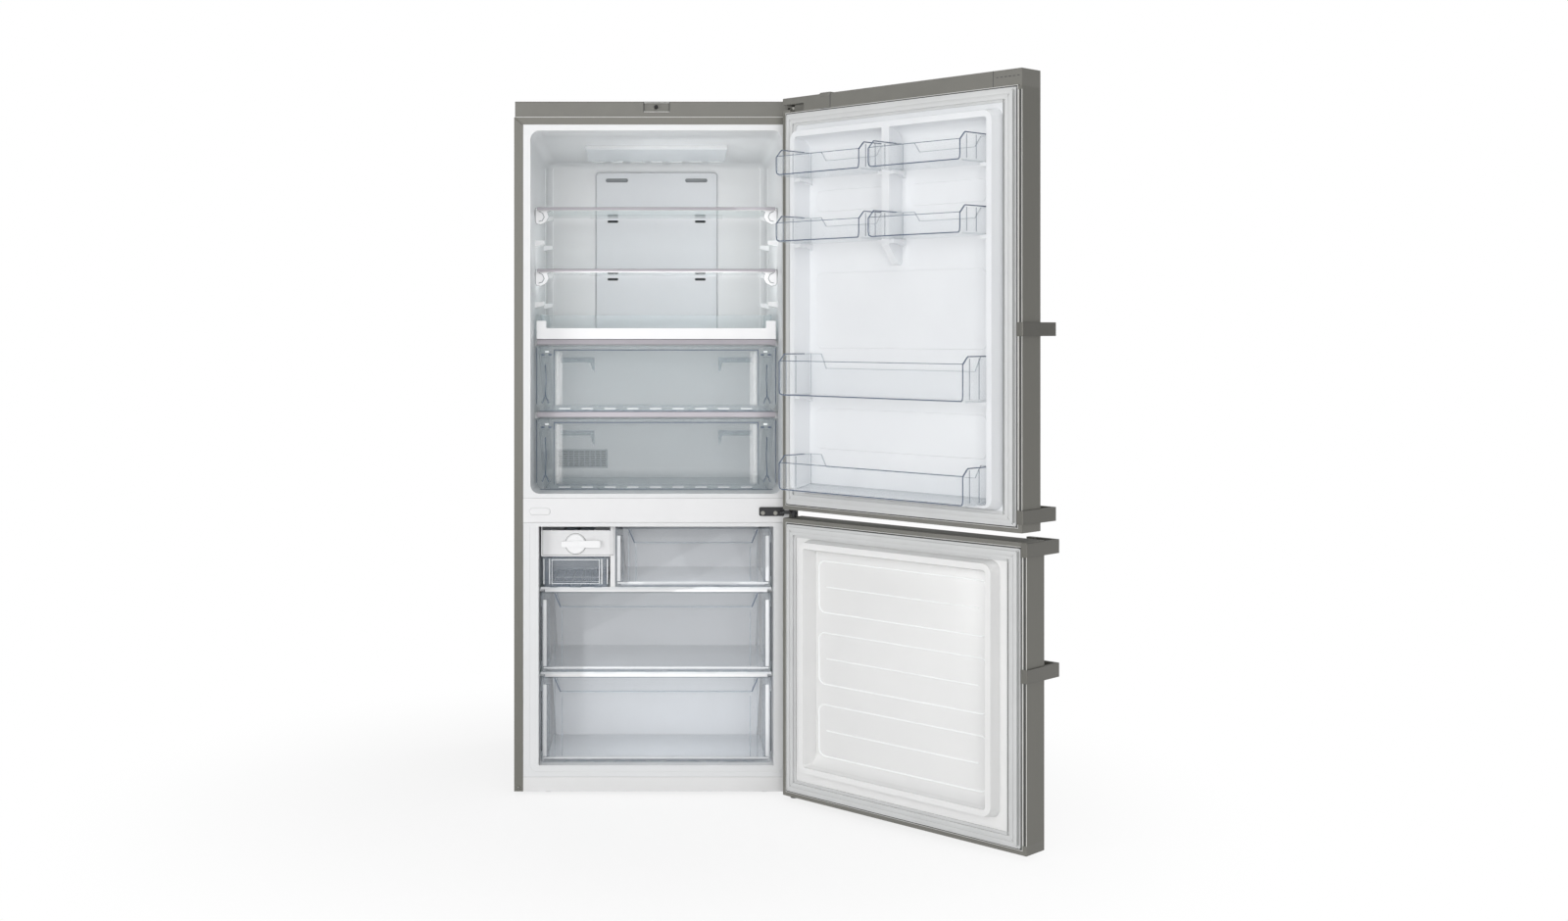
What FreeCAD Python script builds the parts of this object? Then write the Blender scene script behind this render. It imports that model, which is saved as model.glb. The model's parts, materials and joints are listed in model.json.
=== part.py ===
import FreeCAD, Part
import math
import os

# Two-door fridge freezer with its doors standing open: fridge above, freezer drawers below.
# Millimetres. +Z is up, the doors are on the -Y side, the cabinet's front face is the plane Y = 0
# and the origin is on the floor below the middle of that face.

V = FreeCAD.Vector
os.makedirs("parts", exist_ok=True)

# Cabinet
cabinetWidth = 700.0
cabinetDepth = 610.0
caseBottom = 8.0
caseTop = 1670.0
sheet = 1.0
sideRail = 22.0
topRail = 17.0
railLip = 6.0
mitreSlit = 0.6
caseCornerRadius = 3.0
topCoverHeight = 40.0
topCoverDepth = 130.0
topCoverWall = 2.5
topCoverInset = 2.0
topCoverSlope = 30.0
topCoverTail = 14.0
topCoverEdge = 4.0
topCoverBend = 12.0
panelThickness = 0.8
panelMargin = 70.0
panelBeadGap = 60.0
panelRise = 2.5
panelBeadCorner = 20.0

# Liners
linerWall = 2.5
linerSetback = 0.6
fridgeSideWall = 40.0
fridgeRoof = 32.0
fridgeFloorRise = 11.0
fridgeRearWall = 69.4
fridgeSideDraft = 9.0
fridgeCeilingDraft = 30.0
fridgeCorner = 22.0
fridgeBackEase = 2.0
mullionTop = 731.0
mullionHeight = 60.0
mullionEdge = 1.5
freezerSideWall = 60.0
freezerRoof = 10.0
freezerFloorRise = 28.0
freezerRearWall = 109.4
freezerCorner = 12.0
kickTop = 44.0
kickEdge = 3.0
trimWall = 2.0
seat = 0.3

# Machine compartment behind the lower drawer
machineDepth = 215.0
machineHeight = 235.0
machineFloorGauge = 1.5
machineWall = 45.0
machineCorner = 24.0

# Doors, closed size and the angles at which they stand open
doorThickness = 70.0
doorGap = 8.0
doorSkin = 0.8
doorSplit = 21.0
doorLineDrop = 2.5
freezerDoorBottom = 12.0
fridgeDoorAngle = 133.0
freezerDoorAngle = 134.3
hingeInset = 12.0
hingeSetback = 28.0
doorEdgeRadius = 3.0
capEdgeRadius = 1.5
capHeight = 38.0
lowCapHeight = 22.0
gasketInset = 14.0
gasketWidth = 30.0
gasketHead = 2.0
gasketClear = 0.4
gasketFlange = 3.0
gasketBulbInset = 6.0
gasketCorner = 4.0
gasketGrooveInset = 13.0
gasketGrooveWidth = 4.0
gasketGrooveDepth = 1.5
skinReturn = 12.0
fridgeDikeClear = 9.0
freezerDikeClear = 8.0
dikeHeight = 34.0
freezerDikeHeight = 28.0
dikeTop = 14.0
fridgeSill = 6.0
dikeDraft = 6.0
dikeCorner = 22.0
panCorner = 6.0
panRelief = 12.0
embossRise = 1.5
embossMargin = 24.0
embossGap = 12.0
embossCorner = 16.0
embossSlope = 3.0
embossGroove = 7.0
embossGrooveEnd = 65.0
embossPads = 3

# Door baskets, from the top row down
basketShares = (0.8532, 0.6732, 0.2569)
basketHeights = (62.0, 62.0, 99.0, 82.0)
ledgeReach = 16.0
ledgeHeight = 9.0
ledgeDepth = 46.0
ledgeFoot = 8.0
ledgeSlope = 20.0
basketSideGap = 6.5
basketRibGap = 3.0
basketCorner = 10.0
basketEdge = 3.0
basketWall = 2.5
basketDepth = 112.0
smallBasketDepth = 122.0
basketBevel = 18.0
basketDip = 0.35
basketDipSide = 34.0
basketDipRun = 16.0
ribHalfWidth = 11.0
ribBelow = 35.0
ribFoot = 22.0
ribLedge = 12.0

# Hinges
pinRadius = 6.0
pinRunning = 0.05
pinReach = 15.0
pinShort = 2.0
armThickness = 5.0
armHalfWidth = 9.0
armClear = 4.0
armRise = 20.0
armBend = 2.0
slotReach = 34.0
slotLength = 56.0
slotDepth = 16.0
slotFloor = 3.0
hingePlate = 4.0
hingeSeatFront = 22.0
hingeSeatBack = 112.0
midPlateFar = 84.0
midPlateNear = 22.0
midPlateHeight = 22.0
midPlateCorner = 4.0
midArmLap = 12.0
footPlateReach = 44.0
footPlateFront = 52.0
footPlateLap = 20.0
footPlateCorner = 8.0
boltFlange = 1.2
boltFlangeShare = 0.62
topBolt = 12.0
topBoltHeight = 5.0
topBoltFront = 28.0
topBoltRear = 16.0
midBolt = 8.0
midBoltDrop = 1.0
midBoltReaches = (75.0, 44.0)
lowBolt = 10.0
lowBoltHeight = 2.4
lowBoltReaches = (32.0, 4.0)

# Handles
barWidth = 26.0
barDepth = 16.0
barEdge = 5.0
barInset = 62.0
handleReach = 54.0
bracketHeight = 30.0
bracketStrap = 4.0
bracketLip = 12.0
lipThickness = 3.0
armGauge = 8.0
handleEnd = 34.0
freezerHandleEnd = 17.0
fridgeHandleSpan = 405.0
freezerHandleSpan = 272.0

# Shelves, crisper lids and the pull-out tray
paneThickness = 4.0
paneInset = 3.5
paneCorner = 3.0
trimCorner = 3.0
shelfClear = 1.0
shelfFront = 104.0
shelfRear = 66.6
shelfTrimHeight = 8.0
shelfTrimRise = 1.5
lidTrimHeight = 15.0
trimDepth = 14.0
rearTrimShare = 0.6
rearTrimDepth = 9.0
rearTrimLap = 2.0
rearTrimRise = 4.0
shelfShares = (0.6447, 0.3417)
spareShare = 0.4932
spareGap = 35.7
lidRises = (381.0, 198.0)
lugReach = 24.0
lugHeight = 15.0
lugLength = 34.0
lugTaper = 4.0
lugTipShare = 0.6
lugFront = 126.0
lugRear = 40.0
trayFront = 98.0
trayFrameDepth = 12.0
trayShort = 20.0
traySideClear = 3.0
trayCorner = 8.0
trayMouthDrop = 3.0
trayMouthNear = 30.0
trayMouthFar = 70.0
trayWall = 3.0
trayDraft = 4.0
trayHeight = 62.0
trayFrameHeight = 27.0
trayBlockHeight = 46.0
trayBlockWidth = 24.0

# Drawers and bins
drawerWall = 2.5
drawerDraft = 6.0
drawerCorner = 14.0
frontLap = 1.5
frontCorner = 20.0
crisperSideClear = 2.0
crisperFront = 102.0
crisperShort = 10.0
windowFoot = 12.0
windowHead = 7.0
pocketHalf = 12.0
pocketTop = 14.0
pocketHeight = 12.0
pocketDepth = 3.0
grooveFoot = 22.0
grooveHead = 44.0
crisperDraft = 15.0
crisperLidGap = 1.5
pillarWidth = 43.5
windowRecess = 7.0
frontWall = 11.0
grooveWidth = 3.0
grooveDepth = 3.5
grooveLeg = 16.0
grooveSpread = 0.6
drawerSideClear = 6.0
drawerFront = 34.0
drawerRear = 82.6
lowerDrawerRear = 16.0
drawerPost = 32.0
drawerWindowFoot = 10.0
drawerWindowHead = 5.0
drawerWindowRecess = 5.0
gripInset = 14.0
gripFlare = 8.0
barGrooveInset = 10.0
barGrooveWidth = 8.0
barGrooveFoot = 14.0
barGrooveHead = 16.0
barGrooveDepth = 3.0
drawerHeadroom = 10.0
freezerShelfShares = (0.7385, 0.3803)
freezerShelfThickness = 6.0
freezerShelfSet = 6.0
freezerShelfGap = 2.0
freezerRailHeight = 8.0
freezerRailReach = 9.0
freezerRailEnd = 20.0
freezerRailCorner = 3.0
railGap = 1.2
handleLip = 34.0
scallopHeight = 4.0
scallopShare = 0.6
scallopDepth = 5.0
crisperScallops = 8
drawerScallops = 4
iceScallops = 2

# Ice maker
iceSideClear = 4.0
iceWidth = 172.0
iceDrop = 13.0
iceFaceHeight = 65.0
iceAxisRise = 31.5
iceShort = 40.0
iceFaceThickness = 10.0
iceTrayWidth = 80.0
iceTrayShort = 80.0
iceTrayHeight = 28.0
iceTrayGap = 8.0
iceTrayDraft = 6.0
iceTrayCorner = 7.0
iceTrayRim = 5.0
iceCellFloor = 12.0
iceWall = 3.0
iceCells = 7
iceBinShort = 30.0
iceBackDrop = 16.0
iceShaft = 5.0
knobSeat = 0.6
knobRadius = 23.0
knobDepth = 9.0
leverLong = 62.0
leverShort = 35.0
leverHeight = 18.0
leverTaper = 0.8
leverCorner = 5.0
dividerWidth = 12.0
dividerSet = 2.0
iceBinGap = 2.0
iceBinHead = 3.0
iceBinFront = 8.0
iceWindowSide = 24.0
iceBackCut = 20.0

# Cold air, lamp and machine parts
ductShare = 0.535
ductThickness = 9.0
slotEase = 0.2
ductTopDrop = 54.0
ductFoot = 7.0
ductEdge = 4.0
ductCorner = 12.0
ductVentShare = 0.663
ductVentDrop = 78.0
ductVentSize = (62.0, 11.0)
ductSlotShare = 0.73
ductSlotSize = (30.0, 7.0)
ductSlotGap = 17.0
ductSlotLifts = (8.0, 4.0)
lampShare = 0.594
lampFront = 230.0
lampDepth = 200.0
lampHeight = 10.0
lampFall = 3.0
lampEdge = 4.0
lampRidges = 7
lampRidge = 2.2
lampRidgeShare = 0.6
grilleInset = 32.0
grilleFoot = 21.0
grilleWidth = 142.0
grilleHeight = 52.0
grilleThickness = 3.0
grilleRim = 4.0
grilleColumns = 9
grilleRows = 8
grilleBar = 1.2
fanBlades = 7
fanRadius = 48.0
fanHubRadius = 17.0
fanHubHeight = 18.0
fanShaft = 3.0
fanShaftLength = 8.0
bladeThickness = 1.6
bladePitch = 36.0
fanTipGap = 4.0
spokeWidth = 6.0
bladeRoot = 16.0
bladeTip = 30.0
bossHeight = 8.0
coldFanX = 70.0
coldFanDrop = 69.0
rearCoverWall = 3.0
rearCoverCorner = 4.0
rearCoverGap = 14.0
rearCoverShares = (-0.656, -0.38, 0.725)
rearVentSize = (56.0, 8.0)
rearVentDrop = 52.0
rearVentPitch = 18.0
rearFootVents = 12
rearFootVentSize = (30.0, 10.0)
rearFootVentSide = 60.0
rearFootVentRise = 16.0
evaporatorFins = 14
evaporatorSide = 65.0
evaporatorHeight = 190.0
evaporatorDepth = 56.0
evaporatorTurns = 6
evaporatorRise = 14.0
tubeRadius = 4.0
tubeMargin = 15.0
tubeOverhang = 6.0
finThickness = 1.2
condenserTurns = 5
condenserFins = 9
condenserSide = 92.0
condenserLength = 168.0
condenserSet = 35.0
condenserWide = 130.0
condenserHigh = 170.0
condenserMargin = 20.0
condenserRows = (0.3, 0.7)
compressorSide = 215.0
compressorSet = 110.0
compressorRadius = 72.0
compressorHeight = 150.0
compressorBend = 22.0
seamBead = 3.3
shoulderShare = 0.733
stubRadius = 5.0
stubLength = 30.0
mountHeight = 14.0
mountRadius = 12.0
mountSpanX = 170.0
mountSpanY = 96.0
plateGauge = 3.0
plateMargin = 17.0
panHeight = 30.0
panSide = 105.0
panFront = 16.0
panRear = 14.0
panWall = 2.0
panSlope = 6.0
panCut = 12.0
shroudGap = 38.0
shroudGauge = 2.0
shroudCorner = 6.0
coverSheet = 1.2
coverInset = 8.0
coverColumns = 12
coverRows = 5
coverCorner = 6.0
coverVentSide = 52.0
coverVentRise = 54.0
coverVentSize = (34.0, 8.0)

# Door switch
switchRise = 26.0
switchRadius = 4.5
switchRecess = 63.0
switchRecessHeight = 24.0
switchPocket = 5.0
switchRunning = 0.4
switchCollar = 3.0
switchTipGap = 0.6
switchTail = 22.0
plugLength = 53.0
plugHeight = 19.0
plugRise = 2.5
plugInset = 15.0
plugEase = 0.5

# Floor contact
footRadius = 19.0
footStem = 5.0
footEdge = 1.5
footSide = 82.0
footY = 46.0
footBoss = 14.0
rollerRadius = 17.0
rollerWidth = 22.0
rollerEdge = 2.0
rollerSide = 60.0
rollerRear = 50.0
rollerClear = 3.0
axleRadius = 4.0
earGauge = 2.0
earHalf = 14.0
earCorner = 9.0
footTravel = 26.0

# Worked-out places
halfWidth = cabinetWidth / 2
coverTop = caseTop + topCoverHeight
flangeHalf = halfWidth - sideRail
machineFront = cabinetDepth - machineDepth
machineTop = caseBottom + machineHeight
machineFloor = caseBottom + machineFloorGauge
fridgeHalfWidth = halfWidth - fridgeSideWall
fridgeTop = caseTop - fridgeRoof
fridgeBottom = mullionTop + fridgeFloorRise
fridgeBack = cabinetDepth - fridgeRearWall
fridgeDepth = fridgeBack - linerSetback
mullionBottom = mullionTop - mullionHeight
freezerHalfWidth = halfWidth - freezerSideWall
freezerTop = mullionBottom - freezerRoof
freezerBottom = kickTop + freezerFloorRise
freezerBack = cabinetDepth - freezerRearWall
freezerStep = machineFront - machineWall
freezerStepTop = machineTop + machineWall
doorInner = -doorGap
doorOuter = doorInner - doorThickness
doorTop = coverTop
doorMiddle = (mullionTop + mullionBottom) / 2 - doorLineDrop
fridgeDoorBottom = doorMiddle + doorSplit / 2
freezerDoorTop = doorMiddle - doorSplit / 2
capBottom = doorTop - capHeight
hingeX = halfWidth - hingeInset
hingeY = doorInner - hingeSetback
armTop = caseTop + armRise
midArm = doorMiddle - armThickness / 2
topPinEnd = capBottom + 1.0
fridgeHandleLow = fridgeDoorBottom + handleEnd
freezerHandleHigh = freezerDoorTop - freezerHandleEnd
fridgeDikeHalf = fridgeHalfWidth - fridgeDikeClear
fridgeDikeLow = fridgeDoorBottom + gasketInset + gasketWidth + 1.0
fridgeDikeHigh = fridgeTop - fridgeDikeClear
basketHalf = fridgeDikeHalf - dikeTop - 2 * dikeDraft - basketSideGap
sillTop = fridgeDikeLow + fridgeSill + dikeDraft
basketSpan = fridgeTop - sillTop
basketLevels = tuple(sillTop + share * basketSpan for share in basketShares) + (sillTop + seat,)
ribLow = basketLevels[1] - ribBelow
shelfHalfWidth = fridgeHalfWidth - fridgeSideDraft - shelfClear
shelfDepth = fridgeBack - shelfRear - shelfFront
lidHeights = tuple(fridgeBottom + rise for rise in lidRises)
shelfSpan = fridgeTop - lidHeights[0]
shelfHeights = tuple(lidHeights[0] + share * shelfSpan for share in shelfShares)
lugFronts = (lugFront, shelfFront + shelfDepth - lugRear - lugLength)
trayHalfWidth = shelfHalfWidth - traySideClear
trayDepth = shelfDepth - trayShort
trayBase = lidHeights[0] + seat
spareRows = (lidHeights[0] + spareShare * shelfSpan, trayBase + trayHeight + spareGap)
frontHalf = shelfHalfWidth + frontLap
crisperHalfWidth = shelfHalfWidth - crisperSideClear
crisperDepth = shelfDepth - crisperShort
drawerHalfWidth = freezerHalfWidth - drawerSideClear
drawerDepth = freezerBack - drawerRear - drawerFront - rearCoverGap
lowerDrawerDepth = freezerStep - lowerDrawerRear - drawerFront
rearCoverFront = drawerFront + drawerDepth + rearCoverGap
freezerSpan = freezerTop - freezerBottom
freezerShelfHeights = tuple(freezerBottom + share * freezerSpan for share in freezerShelfShares)
iceDepth = drawerDepth - iceShort
iceTrayLength = iceDepth - iceTrayShort
iceLeft = -freezerHalfWidth + iceSideClear
iceTop = freezerTop - iceDrop
iceLow = iceTop - iceFaceHeight
iceAxis = iceLow + iceAxisRise
iceCentre = iceLeft + iceWidth / 2
ductHalfWidth = ductShare * fridgeHalfWidth
ductTop = fridgeTop - ductTopDrop
ductBottom = lidHeights[0] + ductFoot
lampHalfWidth = lampShare * fridgeHalfWidth
grilleLeft = -fridgeHalfWidth + grilleInset
grilleLow = fridgeBottom + grilleFoot
coldFanZ = freezerTop - coldFanDrop
evaporatorHalf = freezerHalfWidth - evaporatorSide
condenserLeft = -halfWidth + condenserSide
condenserFront = machineFront + condenserSet
compressorX = halfWidth - compressorSide
compressorY = machineFront + compressorSet
shroudX = condenserLeft + condenserLength + shroudGap
switchLevel = caseTop + switchRise
footX = halfWidth - footSide
rollerX = halfWidth - rollerSide
rollerY = cabinetDepth - rollerRear


# Shape helpers
def place(plane, offset, a, b):
    if plane == "XY":
        return V(a, b, offset)
    if plane == "XZ":
        return V(a, offset, b)
    return V(offset, a, b)


def normalOf(plane):
    return {"XY": V(0, 0, 1), "XZ": V(0, 1, 0), "YZ": V(1, 0, 0)}[plane]


def ring(plane, offset, points, radius=0.0):
    # closed wire through the points; a corner is rounded by its own third value or by radius
    count = len(points)
    ends = []
    for i in range(count):
        here = points[i]
        before, after = points[i - 1], points[(i + 1) % count]
        r = here[2] if len(here) > 2 else radius
        if r <= 0:
            ends.append((here[:2], None, here[:2]))
            continue
        ax, ay = before[0] - here[0], before[1] - here[1]
        bx, by = after[0] - here[0], after[1] - here[1]
        la, lb = math.hypot(ax, ay), math.hypot(bx, by)
        ax, ay, bx, by = ax / la, ay / la, bx / lb, by / lb
        half = math.acos(max(-1.0, min(1.0, ax * bx + ay * by))) / 2
        run = r / math.tan(half)
        mx, my = ax + bx, ay + by
        lm = math.hypot(mx, my)
        reach = r / math.sin(half) - r
        first = (here[0] + ax * run, here[1] + ay * run)
        middle = (here[0] + mx / lm * reach, here[1] + my / lm * reach)
        last = (here[0] + bx * run, here[1] + by * run)
        ends.append((first, middle, last))
    edges = []
    for i in range(count):
        first, middle, last = ends[i]
        start = place(plane, offset, *last)
        stop = place(plane, offset, *ends[(i + 1) % count][0])
        if middle:
            edges.append(Part.Arc(place(plane, offset, *first), place(plane, offset, *middle),
                                  start).toShape())
        if start.distanceToPoint(stop) > 1e-6:
            edges.append(Part.LineSegment(start, stop).toShape())
    return Part.Wire(edges)


def prism(plane, start, stop, points, radius=0.0):
    face = Part.Face(ring(plane, start, points, radius))
    return face.extrude(normalOf(plane) * (stop - start))


def rect(a0, a1, b0, b1, radius=0.0):
    return [(a0, b0, radius), (a1, b0, radius), (a1, b1, radius), (a0, b1, radius)]


def block(x0, x1, y0, y1, z0, z1, radius=0.0):
    return prism("XY", z0, z1, rect(x0, x1, y0, y1), radius)


def loft(plane, sections):
    wires = [ring(plane, offset, points) for offset, points in sections]
    return Part.makeLoft(wires, True, True)


def rod(start, axis, radius, length):
    return Part.makeCylinder(radius, length, start, axis)


def revolve(centre, points):
    # turns a half outline of (radius, height) points about the vertical through centre
    wire = ring("XZ", 0.0, points)
    shape = Part.Face(wire).revolve(V(0, 0, 0), V(0, 0, 1), 360)
    shape.translate(centre)
    return shape


def mirrored(shape):
    return shape.mirror(V(0, 0, 0), V(1, 0, 0))


def moved(shape, dx=0.0, dy=0.0, dz=0.0):
    copy = shape.copy()
    copy.translate(V(dx, dy, dz))
    return copy


def turned(shape, at, axis):
    copy = shape.copy()
    copy.Placement = FreeCAD.Placement(at, FreeCAD.Rotation(V(0, 0, 1), axis))
    return copy


def joined(shapes):
    return shapes[0].fuse(shapes[1:]).removeSplitter() if len(shapes) > 1 else shapes[0]


def rounded(shape, radius, wanted):
    edges = [e for e in shape.Edges if wanted(e)]
    return shape.makeFillet(radius, edges)


def save(name, *shapes):
    solids = [s for shape in shapes for s in shape.Solids]
    for solid in solids:
        if not solid.isValid() or solid.Volume <= 0:
            print("check", name, solid.Volume)
    whole = solids[0] if len(solids) == 1 else Part.makeCompound(solids)
    whole.exportStep("parts/" + name + ".step")


def openDoor(shape, angle):
    copy = shape.copy()
    copy.rotate(V(hingeX, hingeY, 0), V(0, 0, 1), angle)
    return copy


# Cabinet shell
def archOutline(half, top, thickness, sideThickness, radius):
    inner = max(radius - thickness, 0.0)
    return [(-half, caseBottom), (-half, top, radius), (half, top, radius), (half, caseBottom),
            (half - sideThickness, caseBottom), (half - sideThickness, top - thickness, inner),
            (-half + sideThickness, top - thickness, inner), (-half + sideThickness, caseBottom)]


def outerCase():
    wrap = prism("XZ", 0, cabinetDepth, archOutline(halfWidth, caseTop, sheet, sheet, caseCornerRadius))
    rail = prism("XZ", 0, sheet, archOutline(halfWidth, caseTop, topRail, sideRail, 0.0))
    lipTop = caseTop - topRail + sheet
    lip = prism("XZ", 0, railLip, archOutline(flangeHalf + sheet, lipTop, sheet, sheet, 0.0))
    case = joined([wrap, rail, lip])
    length = math.hypot(sideRail, topRail)
    ux, uz = sideRail / length, -topRail / length
    nx, nz = -uz * mitreSlit / 2, ux * mitreSlit / 2
    startX, startZ = -halfWidth + caseCornerRadius * ux, caseTop + caseCornerRadius * uz
    reach = length - 2 * sheet
    stopX, stopZ = -halfWidth + reach * ux, caseTop + reach * uz
    slit = prism("XZ", -sheet, sheet, [(startX + nx, startZ + nz), (stopX + nx, stopZ + nz),
                                       (stopX - nx, stopZ - nz), (startX - nx, startZ - nz)])
    return case.cut([slit, mirrored(slit)])


def rearPanel():
    inside = halfWidth - sheet
    back = cabinetDepth
    corner = caseCornerRadius - sheet
    outline = [(-inside, machineTop), (inside, machineTop), (inside, caseTop - sheet, corner),
               (-inside, caseTop - sheet, corner)]
    panel = prism("XZ", back - panelThickness, back, outline)
    middle = (machineTop + caseTop) / 2
    side = inside - panelMargin

    def bead(inset, low, high):
        return rect(-side + inset, side - inset, low + inset, high - inset, panelBeadCorner)

    spans = ((machineTop + panelMargin, middle - panelBeadGap / 2),
             (middle + panelBeadGap / 2, caseTop - panelMargin))
    for low, high in spans:
        outside = loft("XZ", [(back, bead(0.0, low, high)), (back + panelRise, bead(panelRise, low, high))])
        hollow = loft("XZ", [(back - panelThickness, bead(panelThickness, low, high)),
                             (back + panelRise - panelThickness,
                              bead(panelRise + panelThickness, low, high))])
        panel = panel.fuse(outside).cut(hollow)
    return panel


def rollerEar(x):
    top = 2 * rollerRadius
    outline = [(rollerY - earHalf, machineFloor), (rollerY - earHalf, top, earCorner),
               (rollerY + earHalf, top, earCorner), (rollerY + earHalf, machineFloor)]
    ear = prism("YZ", x - earGauge / 2, x + earGauge / 2, outline)
    return ear.cut(rod(V(x - earGauge, rollerY, rollerRadius), V(1, 0, 0), axleRadius + pinRunning,
                       2 * earGauge))


def basePlate():
    gauge = machineFloorGauge
    inside = halfWidth - sheet
    floor = prism("YZ", -inside, inside, rect(railLip, cabinetDepth, caseBottom, machineFloor))
    step = [(machineFront, caseBottom), (machineFront, machineTop, machineCorner), (cabinetDepth, machineTop),
            (cabinetDepth, machineTop - gauge), (machineFront + gauge, machineTop - gauge,
                                                 machineCorner - gauge),
            (machineFront + gauge, caseBottom)]
    plate = joined([floor, prism("YZ", -inside, inside, step)])
    wells = []
    fittings = []
    half = rollerWidth / 2 + rollerClear
    long = rollerRadius + rollerClear
    for side in (-1, 1):
        foot = V(side * footX, footY, caseBottom)
        up = V(0, 0, 1)
        stem = rod(foot - up, up, footStem + pinRunning, footBoss + gauge + 2)
        wells.append(stem)
        fittings.append(rod(foot + up * gauge, up, footStem * 2, footBoss).cut(stem))
        x = side * rollerX
        wells.append(block(x - half, x + half, rollerY - long, rollerY + long, caseBottom - 1,
                           machineFloor + 1))
        fittings += [rollerEar(x - half - earGauge / 2), rollerEar(x + half + earGauge / 2)]
    plate = plate.cut(wells)
    shroud = prism("YZ", shroudX - shroudGauge, shroudX,
                   rect(condenserFront, condenserFront + condenserWide, machineFloor,
                        machineFloor + condenserHigh,
                        shroudCorner))
    hub = V(shroudX, condenserFront + condenserWide / 2, machineFloor + condenserHigh / 2)
    return joined([plate, fanMount(shroud, hub, V(1, 0, 0), shroudGauge)] + fittings)


# Moulded liners
def fridgeSections(grow):
    corner = fridgeCorner + grow
    half = fridgeHalfWidth + grow
    front = rect(-half, half, fridgeBottom - grow, fridgeTop + grow, corner)
    half = half - fridgeSideDraft
    back = rect(-half, half, fridgeBottom - grow, fridgeTop - fridgeCeilingDraft + grow, corner)
    return front, back


def fridgeCavity(grow, front):
    near, far = fridgeSections(grow)
    back = fridgeBack + grow
    tub = loft("XZ", [(linerSetback, near), (back, far)])
    tub = rounded(tub, fridgeCorner + grow - fridgeBackEase, lambda e: e.BoundBox.YMin > back - 0.01)
    if front < linerSetback:
        tub = tub.fuse(prism("XZ", front, linerSetback, near))
    return tub


def freezerOutline(grow):
    step = freezerStep + grow
    back = freezerBack + grow
    low, ledge, high = freezerBottom - grow, freezerStepTop - grow, freezerTop + grow
    corner = freezerCorner + grow
    return [(linerSetback, low), (step, low, corner), (step, ledge, freezerCorner), (back, ledge, corner),
            (back, high, corner), (linerSetback, high)]


def freezerCavity(grow, front):
    half = freezerHalfWidth + grow
    tub = prism("YZ", -half, half, freezerOutline(grow))
    if front < linerSetback:
        mouth = rect(-half, half, freezerBottom - grow, freezerTop + grow)
        tub = tub.fuse(prism("XZ", front, linerSetback, mouth))
    return tub


def wallAt(y):
    return fridgeHalfWidth - fridgeSideDraft * (y - linerSetback) / fridgeDepth


def shelfLug(y, top):
    # bracket that grows out of the left wall and carries a pane on its flat top
    root = -wallAt(y) - 1.0
    tip = -wallAt(y) + lugReach
    wide = rect(y, y + lugLength, top - lugHeight, top)
    slim = rect(y + lugTaper, y + lugLength - lugTaper, top - lugHeight * lugTipShare, top)
    return loft("YZ", [(root, wide), (tip, slim)])


def flangePlate(low, high):
    edge = flangeHalf - seat
    return prism("XZ", linerSetback, linerSetback + linerWall, rect(-edge, edge, low + seat, high - seat))


def fridgeLiner():
    tub = fridgeCavity(linerWall, linerSetback)
    liner = tub.fuse(flangePlate(mullionTop, caseTop - topRail)).cut(fridgeCavity(0.0, linerSetback - 1))
    lugs = []
    for height in shelfHeights + spareRows + lidHeights:
        for y in lugFronts:
            lug = shelfLug(y, height - paneThickness)
            lugs += [lug, mirrored(lug)]
    return joined([liner] + lugs)


def freezerLiner():
    tub = freezerCavity(linerWall, linerSetback)
    liner = tub.fuse(flangePlate(kickTop, mullionBottom)).cut(freezerCavity(0.0, linerSetback - 1))
    rails = []
    y0, y1 = drawerFront + freezerRailEnd, drawerFront + lowerDrawerDepth - freezerRailEnd
    for height in freezerShelfHeights:
        top = height - freezerShelfThickness - seat
        section = rect(y0, y1, top - freezerRailHeight, top, freezerRailCorner)
        rail = prism("YZ", -freezerHalfWidth - 1, -freezerHalfWidth + freezerRailReach, section)
        rails += [rail, mirrored(rail)]
    return joined([liner] + rails)


def cabinetFoam():
    inside = halfWidth - sheet
    front = railLip + 1.0
    corner = caseCornerRadius - sheet
    outline = [(-inside, machineFloor), (inside, machineFloor), (inside, caseTop - sheet, corner),
               (-inside, caseTop - sheet, corner)]
    fill = prism("XZ", front, cabinetDepth - panelThickness, outline)
    room = prism("YZ", -halfWidth, halfWidth,
                 [(machineFront - seat, 0), (machineFront - seat, machineTop + seat, machineCorner),
                  (cabinetDepth + 1, machineTop + seat), (cabinetDepth + 1, 0)])
    cuts = [room, fridgeCavity(linerWall, linerSetback - 1), freezerCavity(linerWall, linerSetback - 1)]
    for x in (-footX, footX):
        cuts.append(rod(V(x, footY, 0), V(0, 0, 1), footStem * 2 + seat,
                        machineFloor + footBoss + footTravel))
    return fill.cut(cuts)


# Fronts and covers of the cabinet
def mullionCover():
    edge = flangeHalf - seat
    low, high, wall = mullionBottom, mullionTop, trimWall
    outline = [(railLip, low), (0, low, mullionEdge), (0, high, mullionEdge), (railLip, high),
               (railLip, high - wall), (wall, high - wall), (wall, low + wall), (railLip, low + wall)]
    return prism("YZ", -edge, edge, outline)


def mullionPlug():
    half = plugHeight / 2
    left = -flangeHalf + plugInset
    right = left + plugLength
    base = rect(left, right, doorMiddle - half, doorMiddle + half, half - plugEase)
    crown = rect(left + plugRise, right - plugRise, doorMiddle - half + plugRise,
                 doorMiddle + half - plugRise,
                 half - plugRise - plugEase)
    return loft("XZ", [(0, base), (-plugRise, crown)])


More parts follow.
